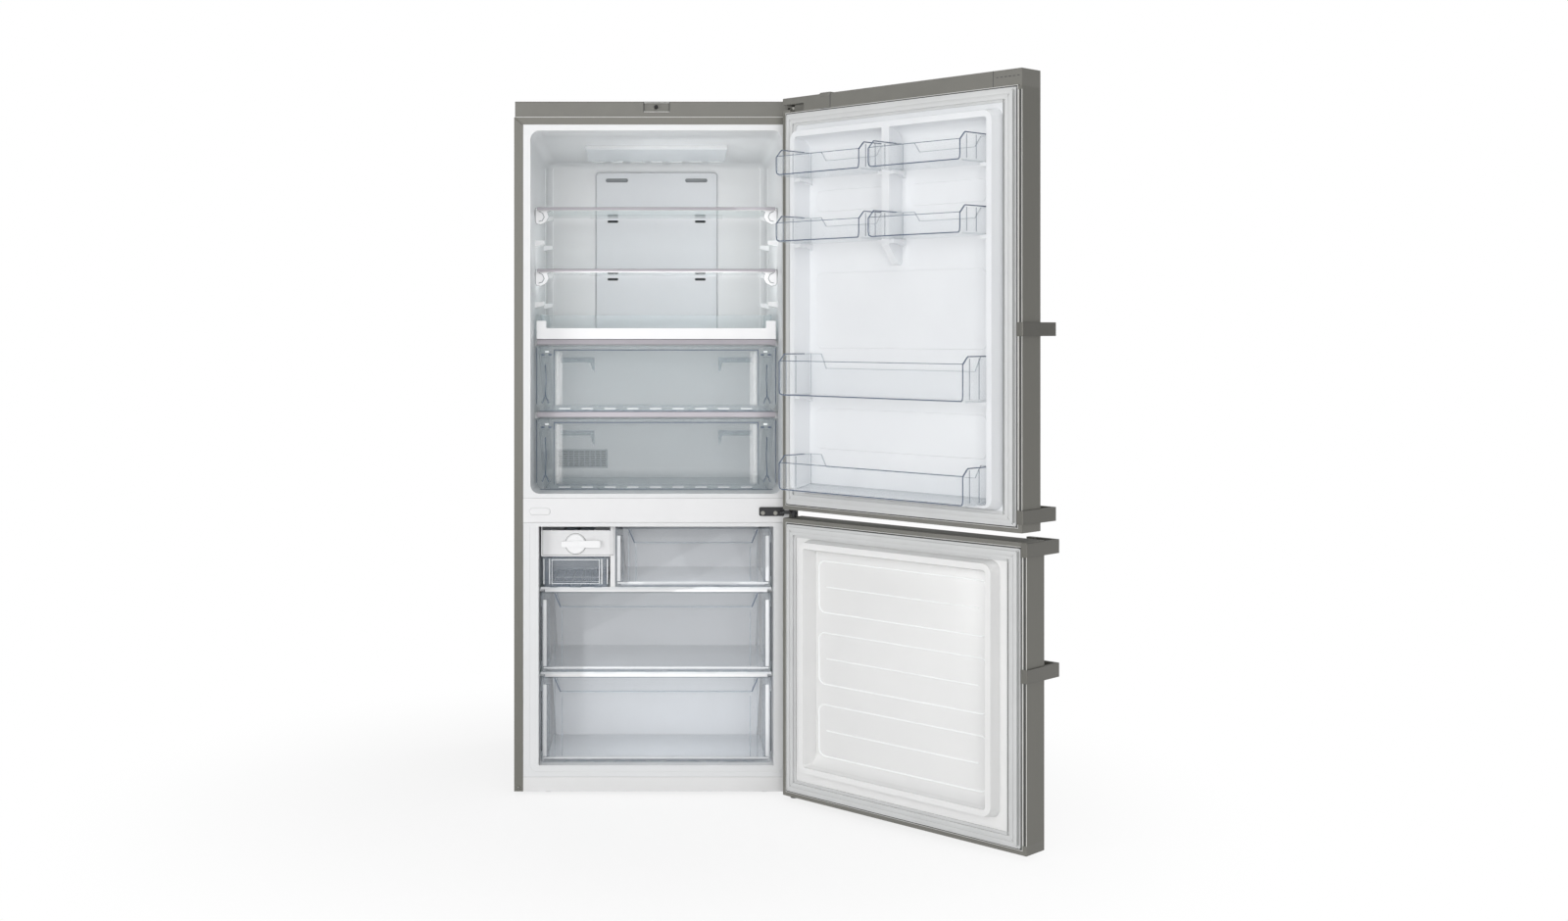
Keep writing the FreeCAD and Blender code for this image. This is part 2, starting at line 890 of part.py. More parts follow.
def kickPlate():
    edge = flangeHalf - seat
    wall = trimWall
    outline = [(0, caseBottom), (0, kickTop, kickEdge), (railLip, kickTop), (railLip, kickTop - wall),
               (wall, kickTop - wall, kickEdge - wall), (wall, caseBottom)]
    return prism("YZ", -edge, edge, outline)


def topCover():
    half = halfWidth - topCoverInset
    front, back = topCoverInset, topCoverDepth
    wall = topCoverWall
    tail = caseTop + topCoverTail
    outline = [(front, caseTop), (front + 1.0, coverTop, topCoverEdge),
               (back - topCoverSlope, coverTop, topCoverBend),
               (back, tail, topCoverBend / 2), (back, caseTop)]
    inner = [(front + wall, caseTop - 1), (front + wall + 1.0, coverTop - wall, topCoverEdge - wall),
             (back - topCoverSlope - wall, coverTop - wall, topCoverBend - wall),
             (back - wall, tail - wall, topCoverBend / 2 - wall), (back - wall, caseTop - 1)]
    shell = prism("YZ", -half, half, outline)
    hollow = prism("YZ", -half + wall, half - wall, inner)
    wide, high = switchRecess / 2, switchRecessHeight / 2
    recess = block(-wide, wide, front - 1, front + switchPocket, switchLevel - high, switchLevel + high)
    around = block(-wide - wall, wide + wall, front, front + switchPocket + wall, switchLevel - high - wall,
                   switchLevel + high + wall)
    bore = rod(V(0, front - 1, switchLevel), V(0, 1, 0), switchRadius + switchRunning,
               switchPocket + wall + 2)
    notch = block(hingeX - armHalfWidth - armClear, halfWidth + 1, front - 1, hingeSeatBack + armClear,
                  caseTop - 1, armTop + armClear)
    return shell.cut(hollow.cut(around)).cut([recess, bore, notch])


def doorSwitch():
    wall = topCoverInset + switchPocket
    start = doorInner + switchTipGap + switchRadius
    along = V(0, 1, 0)
    stem = rod(V(0, start, switchLevel), along, switchRadius, wall + switchTail - start)
    nose = Part.makeSphere(switchRadius, V(0, start, switchLevel))
    collar = rod(V(0, wall + topCoverWall + seat, switchLevel), along, switchRadius + switchCollar,
                 switchCollar)
    return joined([stem, nose, collar])


def hexBolt(at, axis, across, height):
    points = []
    for k in range(6):
        a = math.radians(60 * k)
        points.append((across / 2 * math.cos(a), across / 2 * math.sin(a)))
    head = prism("XY", 0, height, points)
    head = head.fuse(rod(V(0, 0, 0), V(0, 0, 1), across * boltFlangeShare, boltFlange))
    return turned(head, at, axis)


def hingeEye(low):
    return rod(V(hingeX, hingeY, low), V(0, 0, 1), armHalfWidth, armThickness)


def topHinge():
    low = armTop - armThickness
    seatTop = caseTop + armThickness
    inner, outer = armBend, armBend + armThickness / 2
    outline = [(hingeSeatBack, caseTop), (hingeSeatBack, seatTop),
               (hingeSeatFront + armThickness, seatTop, inner),
               (hingeSeatFront + armThickness, armTop, outer), (hingeY, armTop), (hingeY, low),
               (hingeSeatFront, low, inner), (hingeSeatFront, caseTop, inner)]
    bent = prism("YZ", hingeX - armHalfWidth, hingeX + armHalfWidth, outline)
    pin = rod(V(hingeX, hingeY, topPinEnd), V(0, 0, 1), pinRadius, low - topPinEnd)
    return joined([bent, hingeEye(low), pin])


def middleHinge():
    low = midArm
    high = low + armThickness
    drop = (midPlateHeight - armThickness) / 2
    face = rect(hingeX - midPlateFar, hingeX - midPlateNear, low - drop, high + drop, midPlateCorner)
    plate = prism("XZ", -hingePlate, 0, face)
    arm = block(hingeX - midPlateNear - midArmLap, hingeX + armHalfWidth, hingeY, 0, low, high)
    bottom = freezerDoorTop - pinReach + pinShort
    pin = rod(V(hingeX, hingeY, bottom), V(0, 0, 1), pinRadius,
              fridgeDoorBottom + pinReach - pinShort - bottom)
    return joined([plate, arm, hingeEye(low), pin])


def bottomHinge():
    low = caseBottom - armThickness
    left = hingeX - footPlateReach
    arm = block(hingeX - armHalfWidth, hingeX + armHalfWidth, hingeY, hingeSeatBack - footPlateLap, low,
                caseBottom)
    foot = prism("XY", low, caseBottom, [(left, footPlateFront, footPlateCorner), (hingeX, footPlateFront),
                                         (hingeX, hingeSeatBack), (left, hingeSeatBack, footPlateCorner)])
    pin = rod(V(hingeX, hingeY, low), V(0, 0, 1), pinRadius, freezerDoorBottom + pinReach - pinShort - low)
    return joined([arm, foot, hingeEye(low), pin])


def hingeBolts():
    heads = []
    for y in (hingeSeatFront + topBoltFront, hingeSeatBack - topBoltRear):
        heads.append(hexBolt(V(hingeX, y, caseTop + armThickness), V(0, 0, 1), topBolt, topBoltHeight))
    for reach in midBoltReaches:
        at = V(hingeX - reach, -hingePlate, midArm - midBoltDrop)
        heads.append(hexBolt(at, V(0, -1, 0), midBolt, lowBoltHeight))
    for reach in lowBoltReaches:
        at = V(hingeX - reach, (footPlateFront + hingeSeatBack) / 2, caseBottom - armThickness)
        heads.append(hexBolt(at, V(0, 0, -1), lowBolt, lowBoltHeight))
    return heads


# Lamp, ducts and grille
def ceilingAt(y):
    return fridgeTop - fridgeCeilingDraft * (y - linerSetback) / fridgeDepth


def lampCover():
    front, back = lampFront, lampFront + lampDepth
    foot = ceilingAt(back) - lampHeight - lampFall
    outline = [(front, ceilingAt(front) - seat), (front + lampEdge, ceilingAt(front) - lampHeight, lampEdge),
               (back - 2 * lampEdge, foot, lampEdge), (back, ceilingAt(back) - seat)]
    lens = prism("YZ", -lampHalfWidth, lampHalfWidth, outline)
    ridges = []
    pitch = 2 * lampHalfWidth / lampRidges
    for k in range(lampRidges):
        x = -lampHalfWidth + pitch * (k + (1 - lampRidgeShare) / 2)
        ridges.append(rod(V(x, back - 2 * lampEdge - lampRidge, foot), V(1, 0, 0), lampRidge,
                          pitch * lampRidgeShare))
    return joined([lens] + ridges)


def ventAt(x, z, size, y0, y1):
    # long opening with its corners cut off
    a, b = size[0] / 2, size[1] / 2
    c = b / 2
    corners = [(c - a, -b), (a - c, -b), (a, c - b), (a, b - c), (a - c, b), (c - a, b), (-a, b - c),
               (-a, c - b)]
    return prism("XZ", y0, y1, [(x + u, z + w) for u, w in corners])


def slotAt(x, z, size, y0, y1):
    a, b = size[0] / 2, size[1] / 2
    return prism("XZ", y0, y1, rect(x - a, x + a, z - b, z + b, b - slotEase))


def airflowDuct():
    back = fridgeBack - seat
    front = back - ductThickness

    def outline(grow):
        half, top, corner = ductHalfWidth + grow, ductTop - ductEdge + grow, ductCorner - ductEdge + grow
        return [(-half, ductBottom), (half, ductBottom), (half, top, corner), (-half, top, corner)]

    panel = loft("XZ", [(back, outline(ductEdge)), (front, outline(0.0))])
    slots = []
    for side in (-1, 1):
        x = side * ductVentShare * ductHalfWidth
        slots.append(slotAt(x, fridgeTop - ductVentDrop, ductVentSize, front - 1, back + 1))
        x = side * ductSlotShare * ductHalfWidth
        for height, lift in zip(shelfHeights, ductSlotLifts):
            for z in (height + lift, height + lift - ductSlotGap):
                slots.append(slotAt(x, z, ductSlotSize, front - 1, back + 1))
    return panel.cut(slots)


def returnGrille():
    back = fridgeBack - seat
    front = back - grilleThickness
    right, top = grilleLeft + grilleWidth, grilleLow + grilleHeight
    plate = prism("XZ", front, back, rect(grilleLeft, right, grilleLow, top, grilleRim))
    pitchX = (grilleWidth - 2 * grilleRim) / grilleColumns
    pitchZ = (grilleHeight - 2 * grilleRim) / grilleRows
    slots = []
    for i in range(grilleColumns):
        for k in range(grilleRows):
            x = grilleLeft + grilleRim + pitchX * i
            z = grilleLow + grilleRim + pitchZ * k
            hole = rect(x + grilleBar, x + pitchX - grilleBar, z + grilleBar, z + pitchZ - grilleBar)
            slots.append(prism("XZ", front - 1, back + 1, hole))
    return plate.cut(slots)


# Cold and machine parts
def bladeSection(radius, chord):
    half = bladeThickness / 2
    c, s = math.cos(math.radians(bladePitch)), math.sin(math.radians(bladePitch))
    corners = []
    for u, w in ((-chord / 2, -half), (chord / 2, -half), (chord / 2, half), (-chord / 2, half)):
        corners.append(V(radius, u * c - w * s, fanHubHeight / 2 + u * s + w * c))
    return Part.makePolygon(corners + corners[:1])


def fan(at, axis):
    root = bladeSection(fanHubRadius - bladeThickness, bladeRoot)
    blade = Part.makeLoft([root, bladeSection(fanRadius, bladeTip)], True, True)
    up = V(0, 0, 1)
    pieces = [rod(V(0, 0, 0), up, fanHubRadius, fanHubHeight),
              rod(V(0, 0, -fanShaftLength), up, fanShaft, fanShaftLength)]
    for k in range(fanBlades):
        copy = blade.copy()
        copy.rotate(V(0, 0, 0), up, 360.0 * k / fanBlades)
        pieces.append(copy)
    return turned(joined(pieces), at, axis)


def fanMount(plate, at, axis, thickness):
    # round opening with three spokes and a motor boss, cut into a plate whose back face holds the point at
    up = V(0, 0, 1)
    opening = rod(V(0, 0, -thickness - 1), up, fanRadius + fanTipGap, thickness + 2)
    plate = plate.cut(turned(opening, at, axis))
    boss = [rod(V(0, 0, -thickness), up, fanHubRadius, thickness + bossHeight)]
    for k in range(3):
        spoke = block(0, fanRadius + 2 * fanTipGap, -spokeWidth / 2, spokeWidth / 2, -thickness, 0)
        spoke.rotate(V(0, 0, 0), up, 120.0 * k + 30)
        boss.append(spoke)
    bore = rod(V(0, 0, -thickness - 1), up, fanShaft + pinRunning, thickness + bossHeight + 2)
    return joined([plate, turned(joined(boss).cut(bore), at, axis)])


def freezerRearCover():
    y0, y1 = rearCoverFront, rearCoverFront + rearCoverWall
    half = freezerHalfWidth - seat
    low, high = freezerStepTop + seat, freezerTop - seat
    plate = prism("XZ", y0, y1, rect(-half, half, low, high, rearCoverCorner))
    slots = []
    for share in rearCoverShares:
        for row in range(3):
            z = high - rearVentDrop - rearVentPitch * row
            slots.append(ventAt(share * half, z, rearVentSize, y0 - 1, y1 + 1))
    left = -half + rearFootVentSide
    pitch = -2 * left / (rearFootVents - 1)
    for k in range(rearFootVents):
        slots.append(ventAt(left + pitch * k, low + rearFootVentRise, rearFootVentSize, y0 - 1, y1 + 1))
    return fanMount(plate.cut(slots), V(coldFanX, y1, coldFanZ), V(0, 1, 0), rearCoverWall)


def serpentine(start, length, rise, turns):
    # straight eight-sided runs along X joined by half rings, climbing along Z
    along, axis = V(1, 0, 0), V(0, 0, 1)
    swing = axis.cross(along)
    pieces = []
    for k in range(turns):
        at = start + axis * (rise * k)
        corners = []
        for n in range(9):
            a = math.radians(45 * n + 22.5)
            corners.append(at + axis * (tubeRadius * math.cos(a)) + swing * (tubeRadius * math.sin(a)))
        section = Part.Face(Part.makePolygon(corners))
        pieces.append(section.extrude(along * length))
        if k < turns - 1:
            right = k % 2 == 0
            near = along * length if right else V(0, 0, 0)
            end = moved(section, near.x, near.y, near.z)
            centre = at + near + axis * (rise / 2)
            pieces.append(end.revolve(centre, swing * (-1 if right else 1), 180))
    return pieces


def finStack(left, right, count, y0, y1, low, high):
    fins = []
    half = finThickness / 2
    pitch = (right - left) / (count - 1)
    for k in range(count):
        x = left + pitch * k
        fins.append(block(x - half, x + half, y0, y1, low, high))
    return fins


def evaporator():
    y1 = freezerBack - seat
    y0 = y1 - evaporatorDepth
    low = freezerStepTop + evaporatorRise
    high = low + evaporatorHeight
    fins = finStack(-evaporatorHalf, evaporatorHalf, evaporatorFins, y0, y1, low, high)
    rise = (evaporatorHeight - 2 * tubeMargin) / (evaporatorTurns - 1)
    start = V(-evaporatorHalf - tubeOverhang, (y0 + y1) / 2, low + tubeMargin)
    return joined(fins + serpentine(start, 2 * evaporatorHalf + 2 * tubeOverhang, rise, evaporatorTurns))


def condenser():
    y0, y1 = condenserFront, condenserFront + condenserWide
    high = machineFloor + condenserHigh
    pieces = finStack(condenserLeft, condenserLeft + condenserLength, condenserFins, y0, y1, machineFloor,
                      high)
    rise = (condenserHigh - 2 * condenserMargin) / (condenserTurns - 1)
    for share in condenserRows:
        start = V(condenserLeft - tubeOverhang, y0 + share * condenserWide, machineFloor + condenserMargin)
        pieces += serpentine(start, condenserLength + 2 * tubeOverhang, rise, condenserTurns)
    return joined(pieces)


def compressor():
    low = machineFloor + mountHeight
    r, h = compressorRadius, compressorHeight
    seam = h / 2
    bead, shoulder = seamBead, h * shoulderShare
    outline = [(0, 0), (r - 3 * bead, 0), (r, compressorBend), (r, seam), (r + bead, seam + bead),
               (r + bead, seam + 2 * bead), (r, seam + 3 * bead), (r, shoulder), (r * 0.85, h * 0.91),
               (r / 2, h), (0, h)]
    body = revolve(V(compressorX, compressorY, low + plateGauge), outline)
    half, deep = mountSpanX / 2 + plateMargin, mountSpanY / 2 + plateMargin
    plate = block(compressorX - half, compressorX + half, compressorY - deep, compressorY + deep, low,
                  low + plateGauge, plateMargin * 0.8)
    band = low + plateGauge + (seam + 3 * bead + shoulder) / 2
    stub = rod(V(compressorX + r - stubRadius, compressorY, band), V(1, 0, 0), stubRadius, stubLength)
    return joined([body, plate, stub])


def compressorMounts():
    feet = []
    r, h = mountRadius, mountHeight
    outline = [(0, 0), (r, 0), (r, h / 3), (r * 0.7, h / 2), (r, h * 0.7), (r, h), (0, h)]
    for sx in (-1, 1):
        for sy in (-1, 1):
            at = V(compressorX + sx * mountSpanX / 2, compressorY + sy * mountSpanY / 2, machineFloor)
            feet.append(revolve(at, outline))
    return feet


def drainPan():
    low = machineFloor + mountHeight + plateGauge + compressorHeight + seat
    y0, y1 = machineFront + panFront, cabinetDepth - panRear

    def outline(inset, cut):
        a0, a1 = compressorX - panSide + inset, compressorX + panSide - inset
        b0, b1 = y0 + inset, y1 - inset
        return [(a0 + cut, b0), (a1 - cut, b0), (a1, b0 + cut), (a1, b1 - cut), (a1 - cut, b1),
                (a0 + cut, b1), (a0, b1 - cut), (a0, b0 + cut)]

    wall, top = panWall, low + panHeight
    outer = loft("XY", [(low, outline(panSlope, panCut)), (top, outline(0.0, panCut))])
    inner = loft("XY", [(low + wall, outline(panSlope + wall, panCut - 1)),
                        (top + 1, outline(wall, panCut - 1))])
    return outer.cut(inner)


def machineCover():
    back = cabinetDepth
    half = halfWidth - coverInset
    outline = rect(-half, half, caseBottom + seat, machineTop - seat, coverCorner)
    plate = prism("XZ", back, back + coverSheet, outline)
    slots = []
    left = -half + coverVentSide
    pitchX = -2 * left / (coverColumns - 1)
    pitchZ = (machineHeight - 2 * coverVentRise) / (coverRows - 1)
    for i in range(coverColumns):
        for k in range(coverRows):
            z = caseBottom + coverVentRise + pitchZ * k
            slots.append(ventAt(left + pitchX * i, z, coverVentSize, back - 1, back + coverSheet + 1))
    return plate.cut(slots)


# Shelves and crisper lids
def pane(top):
    y1 = shelfFront + shelfDepth
    return block(-shelfHalfWidth, shelfHalfWidth, shelfFront + paneInset, y1 - paneInset, top - paneThickness,
                 top,
                 paneCorner)


def shelfTrims(top, height, rise):
    half = shelfHalfWidth + frontLap / 2
    face = rect(shelfFront, shelfFront + trimDepth, top + rise - height, top + rise, trimCorner)
    front = prism("YZ", -half, half, face)
    back = shelfFront + shelfDepth
    low, high = top - paneThickness - rearTrimLap, top + rise * rearTrimRise + seat
    rear = prism("YZ", -half * rearTrimShare, half * rearTrimShare,
                 rect(back - rearTrimDepth, back, low, high))
    return [front.cut(pane(top)), rear.cut(pane(top))]


def trayFrame():
    half, low = frontHalf, trayBase
    inner = half - trayBlockWidth
    bar, tall, r = low + trayFrameHeight, low + trayBlockHeight, trimCorner
    outline = [(-half, low), (half, low), (half, tall, r), (inner, tall, r), (inner, bar, r),
               (-inner, bar, r), (-inner, tall, r), (-half, tall, r)]
    return prism("XZ", trayFront, trayFront + trayFrameDepth, outline)


def trayTub():
    half, low = trayHalfWidth - 1.0, trayBase
    y0, y1 = trayFront + trayFrameDepth, trayFront + trayDepth
    top, wall, slope = low + trayHeight, trayWall, trayDraft
    corner = trayCorner - trayWall
    foot = rect(-half + slope, half - slope, y0, y1 - slope, trayCorner)
    outer = loft("XY", [(low, foot), (top, rect(-half, half, y0, y1, trayCorner))])
    side = half - wall
    foot = rect(-side + slope, side - slope, y0 + wall, y1 - slope - wall, corner)
    inner = loft("XY", [(low + wall, foot), (top + 1, rect(-side, side, y0 + wall, y1 - wall, corner))])
    lip = low + trayFrameHeight - trayMouthDrop
    mouth = prism("YZ", -half - 1, half + 1, [(y0 - 1, lip), (y0 + trayMouthNear, lip),
                                              (y0 + trayMouthFar, top + 1), (y0 - 1, top + 1)])
    return outer.cut([inner, mouth])


# Drawers and bins
def openBin(x0, x1, y0, y1, low, high, front, draft):
    wall, r = drawerWall, drawerCorner
    outer = loft("XY", [(low, rect(x0 + draft, x1 - draft, y0, y1 - draft, r)),
                        (high, rect(x0, x1, y0, y1, r))])
    x0, x1, y0, y1, r = x0 + wall, x1 - wall, y0 + front, y1 - wall, r - wall
    inner = loft("XY", [(low + wall, rect(x0 + draft, x1 - draft, y0, y1 - draft, r)),
                        (high + 1, rect(x0, x1, y0, y1, r))])
    return outer.cut(inner)


def frontPanel(x0, x1, y, low, high, corner):
    outline = [(x0, low, corner), (x1, low, corner), (x1, high, trimCorner), (x0, high, trimCorner)]
    return prism("XZ", y, y + frontWall, outline)


def forkGroove(x, low, high, y):
    half, leg = grooveWidth / 2, grooveLeg
    spread = leg * grooveSpread
    outline = [(x - half, high), (x - half, low + leg), (x - half - spread, low), (x - spread + half, low),
               (x, low + leg - grooveWidth), (x + spread - half, low), (x + half + spread, low),
               (x + half, low + leg), (x + half, high)]
    return prism("XZ", y - 1, y + grooveDepth, outline)


def scallops(x0, x1, low, y, count):
    cuts = []
    pitch = (x1 - x0) / count
    half = pitch * scallopShare / 2
    top = low + scallopHeight
    for k in range(count):
        x = x0 + pitch * (k + 0.5)
        outline = [(x - half, low - 1), (x - half + scallopHeight, top), (x + half - scallopHeight, top),
                   (x + half, low - 1)]
        cuts.append(prism("XZ", y - 1, y + scallopDepth, outline))
    return cuts


def crisper(low, high):
    x, y = crisperHalfWidth, crisperFront
    body = openBin(-x, x, y, y + crisperDepth, low, high, frontWall, crisperDraft)
    body = joined([body, frontPanel(-frontHalf, frontHalf, y, low, high, frontCorner)])
    inner = frontHalf - pillarWidth
    window = rect(-inner, inner, low + windowFoot, high - windowHead, trimCorner)
    cuts = [prism("XZ", y - 1, y + windowRecess, window)]
    for side in (-1, 1):
        middle = side * (frontHalf - pillarWidth / 2)
        cuts.append(forkGroove(middle, low + grooveFoot, high - grooveHead, y))
        top = high - pocketTop
        pocket = rect(middle - pocketHalf, middle + pocketHalf, top - pocketHeight, top, trimCorner)
        cuts.append(prism("XZ", y - 1, y + pocketDepth, pocket))
    return body.cut(cuts + scallops(-inner, inner, low, y, crisperScallops))


def freezerDrawer(x0, x1, depth, low, high):
    y = drawerFront
    body = openBin(x0, x1, y, y + depth, low, high, frontWall, drawerDraft)
    body = joined([body, frontPanel(x0, x1, y, low, high, trimCorner)])
    a, b = x0 + drawerPost, x1 - drawerPost
    window = rect(a, b, low + drawerWindowFoot, high - drawerWindowHead, trimCorner)
    c, d = a + gripInset, b - gripInset
    grip = [(c, high - handleLip), (d, high - handleLip), (d + gripFlare, high + 1),
            (c - gripFlare, high + 1)]
    cuts = [prism("XZ", y - 1, y + drawerWindowRecess, window), prism("XZ", y - 1, y + windowRecess, grip)]
    for x in (x0 + barGrooveInset, x1 - barGrooveInset - barGrooveWidth):
        groove = rect(x, x + barGrooveWidth, low + barGrooveFoot, high - barGrooveHead)
        cuts.append(prism("XZ", y - 1, y + barGrooveDepth, groove))
    return body.cut(cuts + scallops(a, b, low, y, drawerScallops))


# Ice maker
def iceHousing():
    x0, x1 = iceLeft, iceLeft + iceWidth
    y0, y1 = drawerFront, drawerFront + iceDepth
    ceiling = freezerTop - seat
    face = prism("XZ", y0, y0 + iceFaceThickness, rect(x0, x1, iceLow, iceTop, trimCorner))
    left = block(x0, x0 + iceWall, y0 + iceWall, y1, iceLow, ceiling)
    right = block(x1, x1 + dividerWidth, y0 + dividerSet, y1, freezerShelfHeights[0] + seat, ceiling)
    rear = block(x0, x1 + 1, y1 - iceWall, y1, iceLow, ceiling)
    bore = rod(V(iceCentre, y0 - 1, iceAxis), V(0, 1, 0), iceShaft + pinRunning, iceDepth + 2)
    return joined([face, left, right, rear]).cut(bore)


def iceTray():
    y0 = drawerFront + iceFaceThickness + iceTrayGap
    y1 = y0 + iceTrayLength
    half, slope = iceTrayWidth / 2, iceTrayDraft
    left, right = iceCentre - half, iceCentre + half
    low, high = iceAxis - iceTrayHeight / 2, iceAxis + iceTrayHeight / 2
    foot = rect(left + slope, right - slope, y0 + slope, y1 - slope, iceTrayCorner)
    outer = loft("XY", [(low, foot), (high, rect(left, right, y0, y1, iceTrayCorner))])
    cells = []
    pitch = (iceTrayLength - 2 * iceTrayRim) / iceCells
    edge = iceWall / 2
    for k in range(iceCells):
        for side in (-1, 1):
            a0, a1 = sorted((iceCentre + side * iceWall, iceCentre + side * (half - iceTrayRim)))
            b0 = y0 + iceTrayRim + pitch * k + edge
            b1 = b0 + pitch - iceWall
            base = rect(a0 + iceWall, a1 - iceWall, b0 + iceWall, b1 - iceWall, iceWall)
            cells.append(loft("XY", [(low + iceCellFloor, base), (high + 1, rect(a0, a1, b0, b1, iceWall))]))
    along = V(0, 1, 0)
    start = drawerFront - knobSeat
    front = rod(V(iceCentre, start, iceAxis), along, iceShaft, y0 + iceWall - start)
    back = rod(V(iceCentre, y1 - iceWall, iceAxis), along, iceShaft, drawerFront + iceDepth - y1 + iceWall)
    return joined([outer.cut(cells), front, back])


def iceKnob():
    y1 = drawerFront - knobSeat
    half = knobDepth / 2
    disc = rod(V(iceCentre, y1 - half, iceAxis), V(0, 1, 0), knobRadius, half)
    left, right = iceCentre - leverShort, iceCentre + leverLong
    slim, wide = leverHeight * leverTaper / 2, leverHeight / 2
    lever = [(left, iceAxis - slim, trimCorner), (right, iceAxis - wide, leverCorner),
             (right, iceAxis + wide, leverCorner), (left, iceAxis + slim, trimCorner)]
    return joined([disc, prism("XZ", y1 - knobDepth, y1 - half + 1, lever)])


def iceBin():
    x0, x1 = iceLeft + iceBinGap, iceLeft + iceWidth - iceBinGap
    y, y1 = drawerFront, drawerFront + iceDepth - iceBinShort
    low, high = freezerShelfHeights[0] + seat, iceLow - iceBinHead
    body = openBin(x0, x1, y, y1, low, high, iceBinFront, drawerDraft)
    a, b = x0 + iceWindowSide, x1 - iceWindowSide
    window = rect(a, b, low + drawerWindowFoot, high - drawerWindowHead, trimCorner)
    side = iceWindowSide / 2
    lowBack = block(x0 + side, x1 - side, y1 - iceBackCut, y1 + 1, high - iceBackDrop, high + 1)
    cuts = [prism("XZ", y - 1, y + drawerWindowRecess, window), lowBack]
    return body.cut(cuts + scallops(a, b, low, y, iceScallops))


# Doors, modelled closed and then swung open about the hinge line
def doorSkinShell(low, high):
    w, t, back = halfWidth, doorSkin, skinReturn
    yo, yi, r = doorOuter, doorInner, doorEdgeRadius
    outline = [(-w, yi), (-w, yo, r), (w, yo, r), (w, yi), (w - back, yi), (w - back, yi - t),
               (w - t, yi - t),
               (w - t, yo + t, r - t), (-w + t, yo + t, r - t), (-w + t, yi - t), (-w + back, yi - t),
               (-w + back, yi)]
    return prism("XY", low, high, outline)


def doorCap(low, high, rim):
    outline = [(-halfWidth, doorInner), (-halfWidth, doorOuter, doorEdgeRadius),
               (halfWidth, doorOuter, doorEdgeRadius), (halfWidth, doorInner)]
    cap = prism("XY", low, high, outline)
    return rounded(cap, capEdgeRadius,
                   lambda e: abs(e.BoundBox.ZMin - rim) + abs(e.BoundBox.ZMax - rim) < 0.01)


def pinBore(low, high):
    return rod(V(hingeX, hingeY, low), V(0, 0, 1), pinRadius + pinRunning, high - low)


def fridgeCaps():
    # the slot in the top cap gives the hinge arm room through the whole swing of the door
    top = doorCap(capBottom, doorTop, doorTop)
    low, high = armTop - armThickness - armClear, armTop + armClear
    r, right, far = armHalfWidth + armClear, halfWidth + 1, hingeY - slotReach
    swing = [(hingeX - r, doorInner + 1), (right, doorInner + 1), (right, far),
             (hingeX + pinRadius / 3, far, pinRadius), (hingeX - r, hingeY - r, pinRadius)]
    pocket = block(hingeX - slotLength, hingeX - r + 1, doorInner - slotDepth, doorInner + 1,
                   capBottom + slotFloor, high)
    top = top.cut([prism("XY", low, high, swing), pocket, pinBore(capBottom - 1, low + 1)])
    foot = doorCap(fridgeDoorBottom, fridgeDoorBottom + lowCapHeight, fridgeDoorBottom)
    return [top, foot.cut(pinBore(fridgeDoorBottom - 1, fridgeDoorBottom + pinReach))]


def freezerCaps():
    top = doorCap(freezerDoorTop - lowCapHeight, freezerDoorTop, freezerDoorTop)
    foot = doorCap(freezerDoorBottom, freezerDoorBottom + lowCapHeight, freezerDoorBottom)
    return [top.cut(pinBore(freezerDoorTop - pinReach, freezerDoorTop + 1)),
            foot.cut(pinBore(freezerDoorBottom - 1, freezerDoorBottom + pinReach))]


def gasket(low, high):
    half = halfWidth - gasketInset
    face = -gasketClear
    flange = doorInner + gasketFlange

    def frame(y0, y1, inset, width):
        outside = rect(-half + inset, half - inset, low + inset, high - inset, gasketCorner)
        reach = inset + width
        inside = rect(-half + reach, half - reach, low + reach, high - reach, gasketCorner)
        return prism("XZ", y0, y1, outside).cut(prism("XZ", y0 - 1, y1 + 1, inside))

    base = frame(doorInner, flange, 0.0, gasketWidth)
    lip = frame(flange, face, gasketBulbInset, gasketWidth - 2 * gasketBulbInset)
    groove = frame(face - gasketGrooveDepth, face + 1, gasketGrooveInset, gasketGrooveWidth)
    return joined([base, lip]).cut(groove)


def dikePan(half, low, high, height, sill):
    # raised rim with sloping sides round a shallow pan; sill is the flat top of its bottom side
    yi, d, r = doorInner, dikeDraft, dikeCorner
    rim = loft("XZ", [(yi - 1, rect(-half, half, low, high, r)),
                      (yi + height, rect(-half + d, half - d, low + d, high - d, r))])
    base = low + sill - dikeTop
    inset = d + dikeTop
    floor = inset + d * (height + panRelief) / height
    mouth = inset - d / height

    def pan(a):
        return rect(-half + a, half - a, base + a, high - a, panCorner)

    return rim, loft("XZ", [(yi - panRelief, pan(floor)), (yi + height + 1, pan(mouth))])


def doorCore(low, high):
    a = halfWidth - doorSkin
    b = halfWidth - skinReturn - seat
    yo, yi = doorOuter + doorSkin, doorInner
    shelf = yi - doorSkin - seat
    r = doorEdgeRadius - doorSkin
    outline = [(-a, yo, r), (a, yo, r), (a, shelf), (b, shelf), (b, yi), (-b, yi), (-b, shelf), (-a, shelf)]
    return prism("XY", low, high, outline)


def embossPad(x0, x1, z0, z1):
    y0 = doorInner - panRelief
    s = embossSlope
    corner = min(embossCorner, (z1 - z0) / 3)
    base = rect(x0, x1, z0, z1, corner)
    crown = rect(x0 + s, x1 - s, z0 + s, z1 - s, corner - s)
    return loft("XZ", [(y0 - 1, base), (y0 + embossRise, crown)])


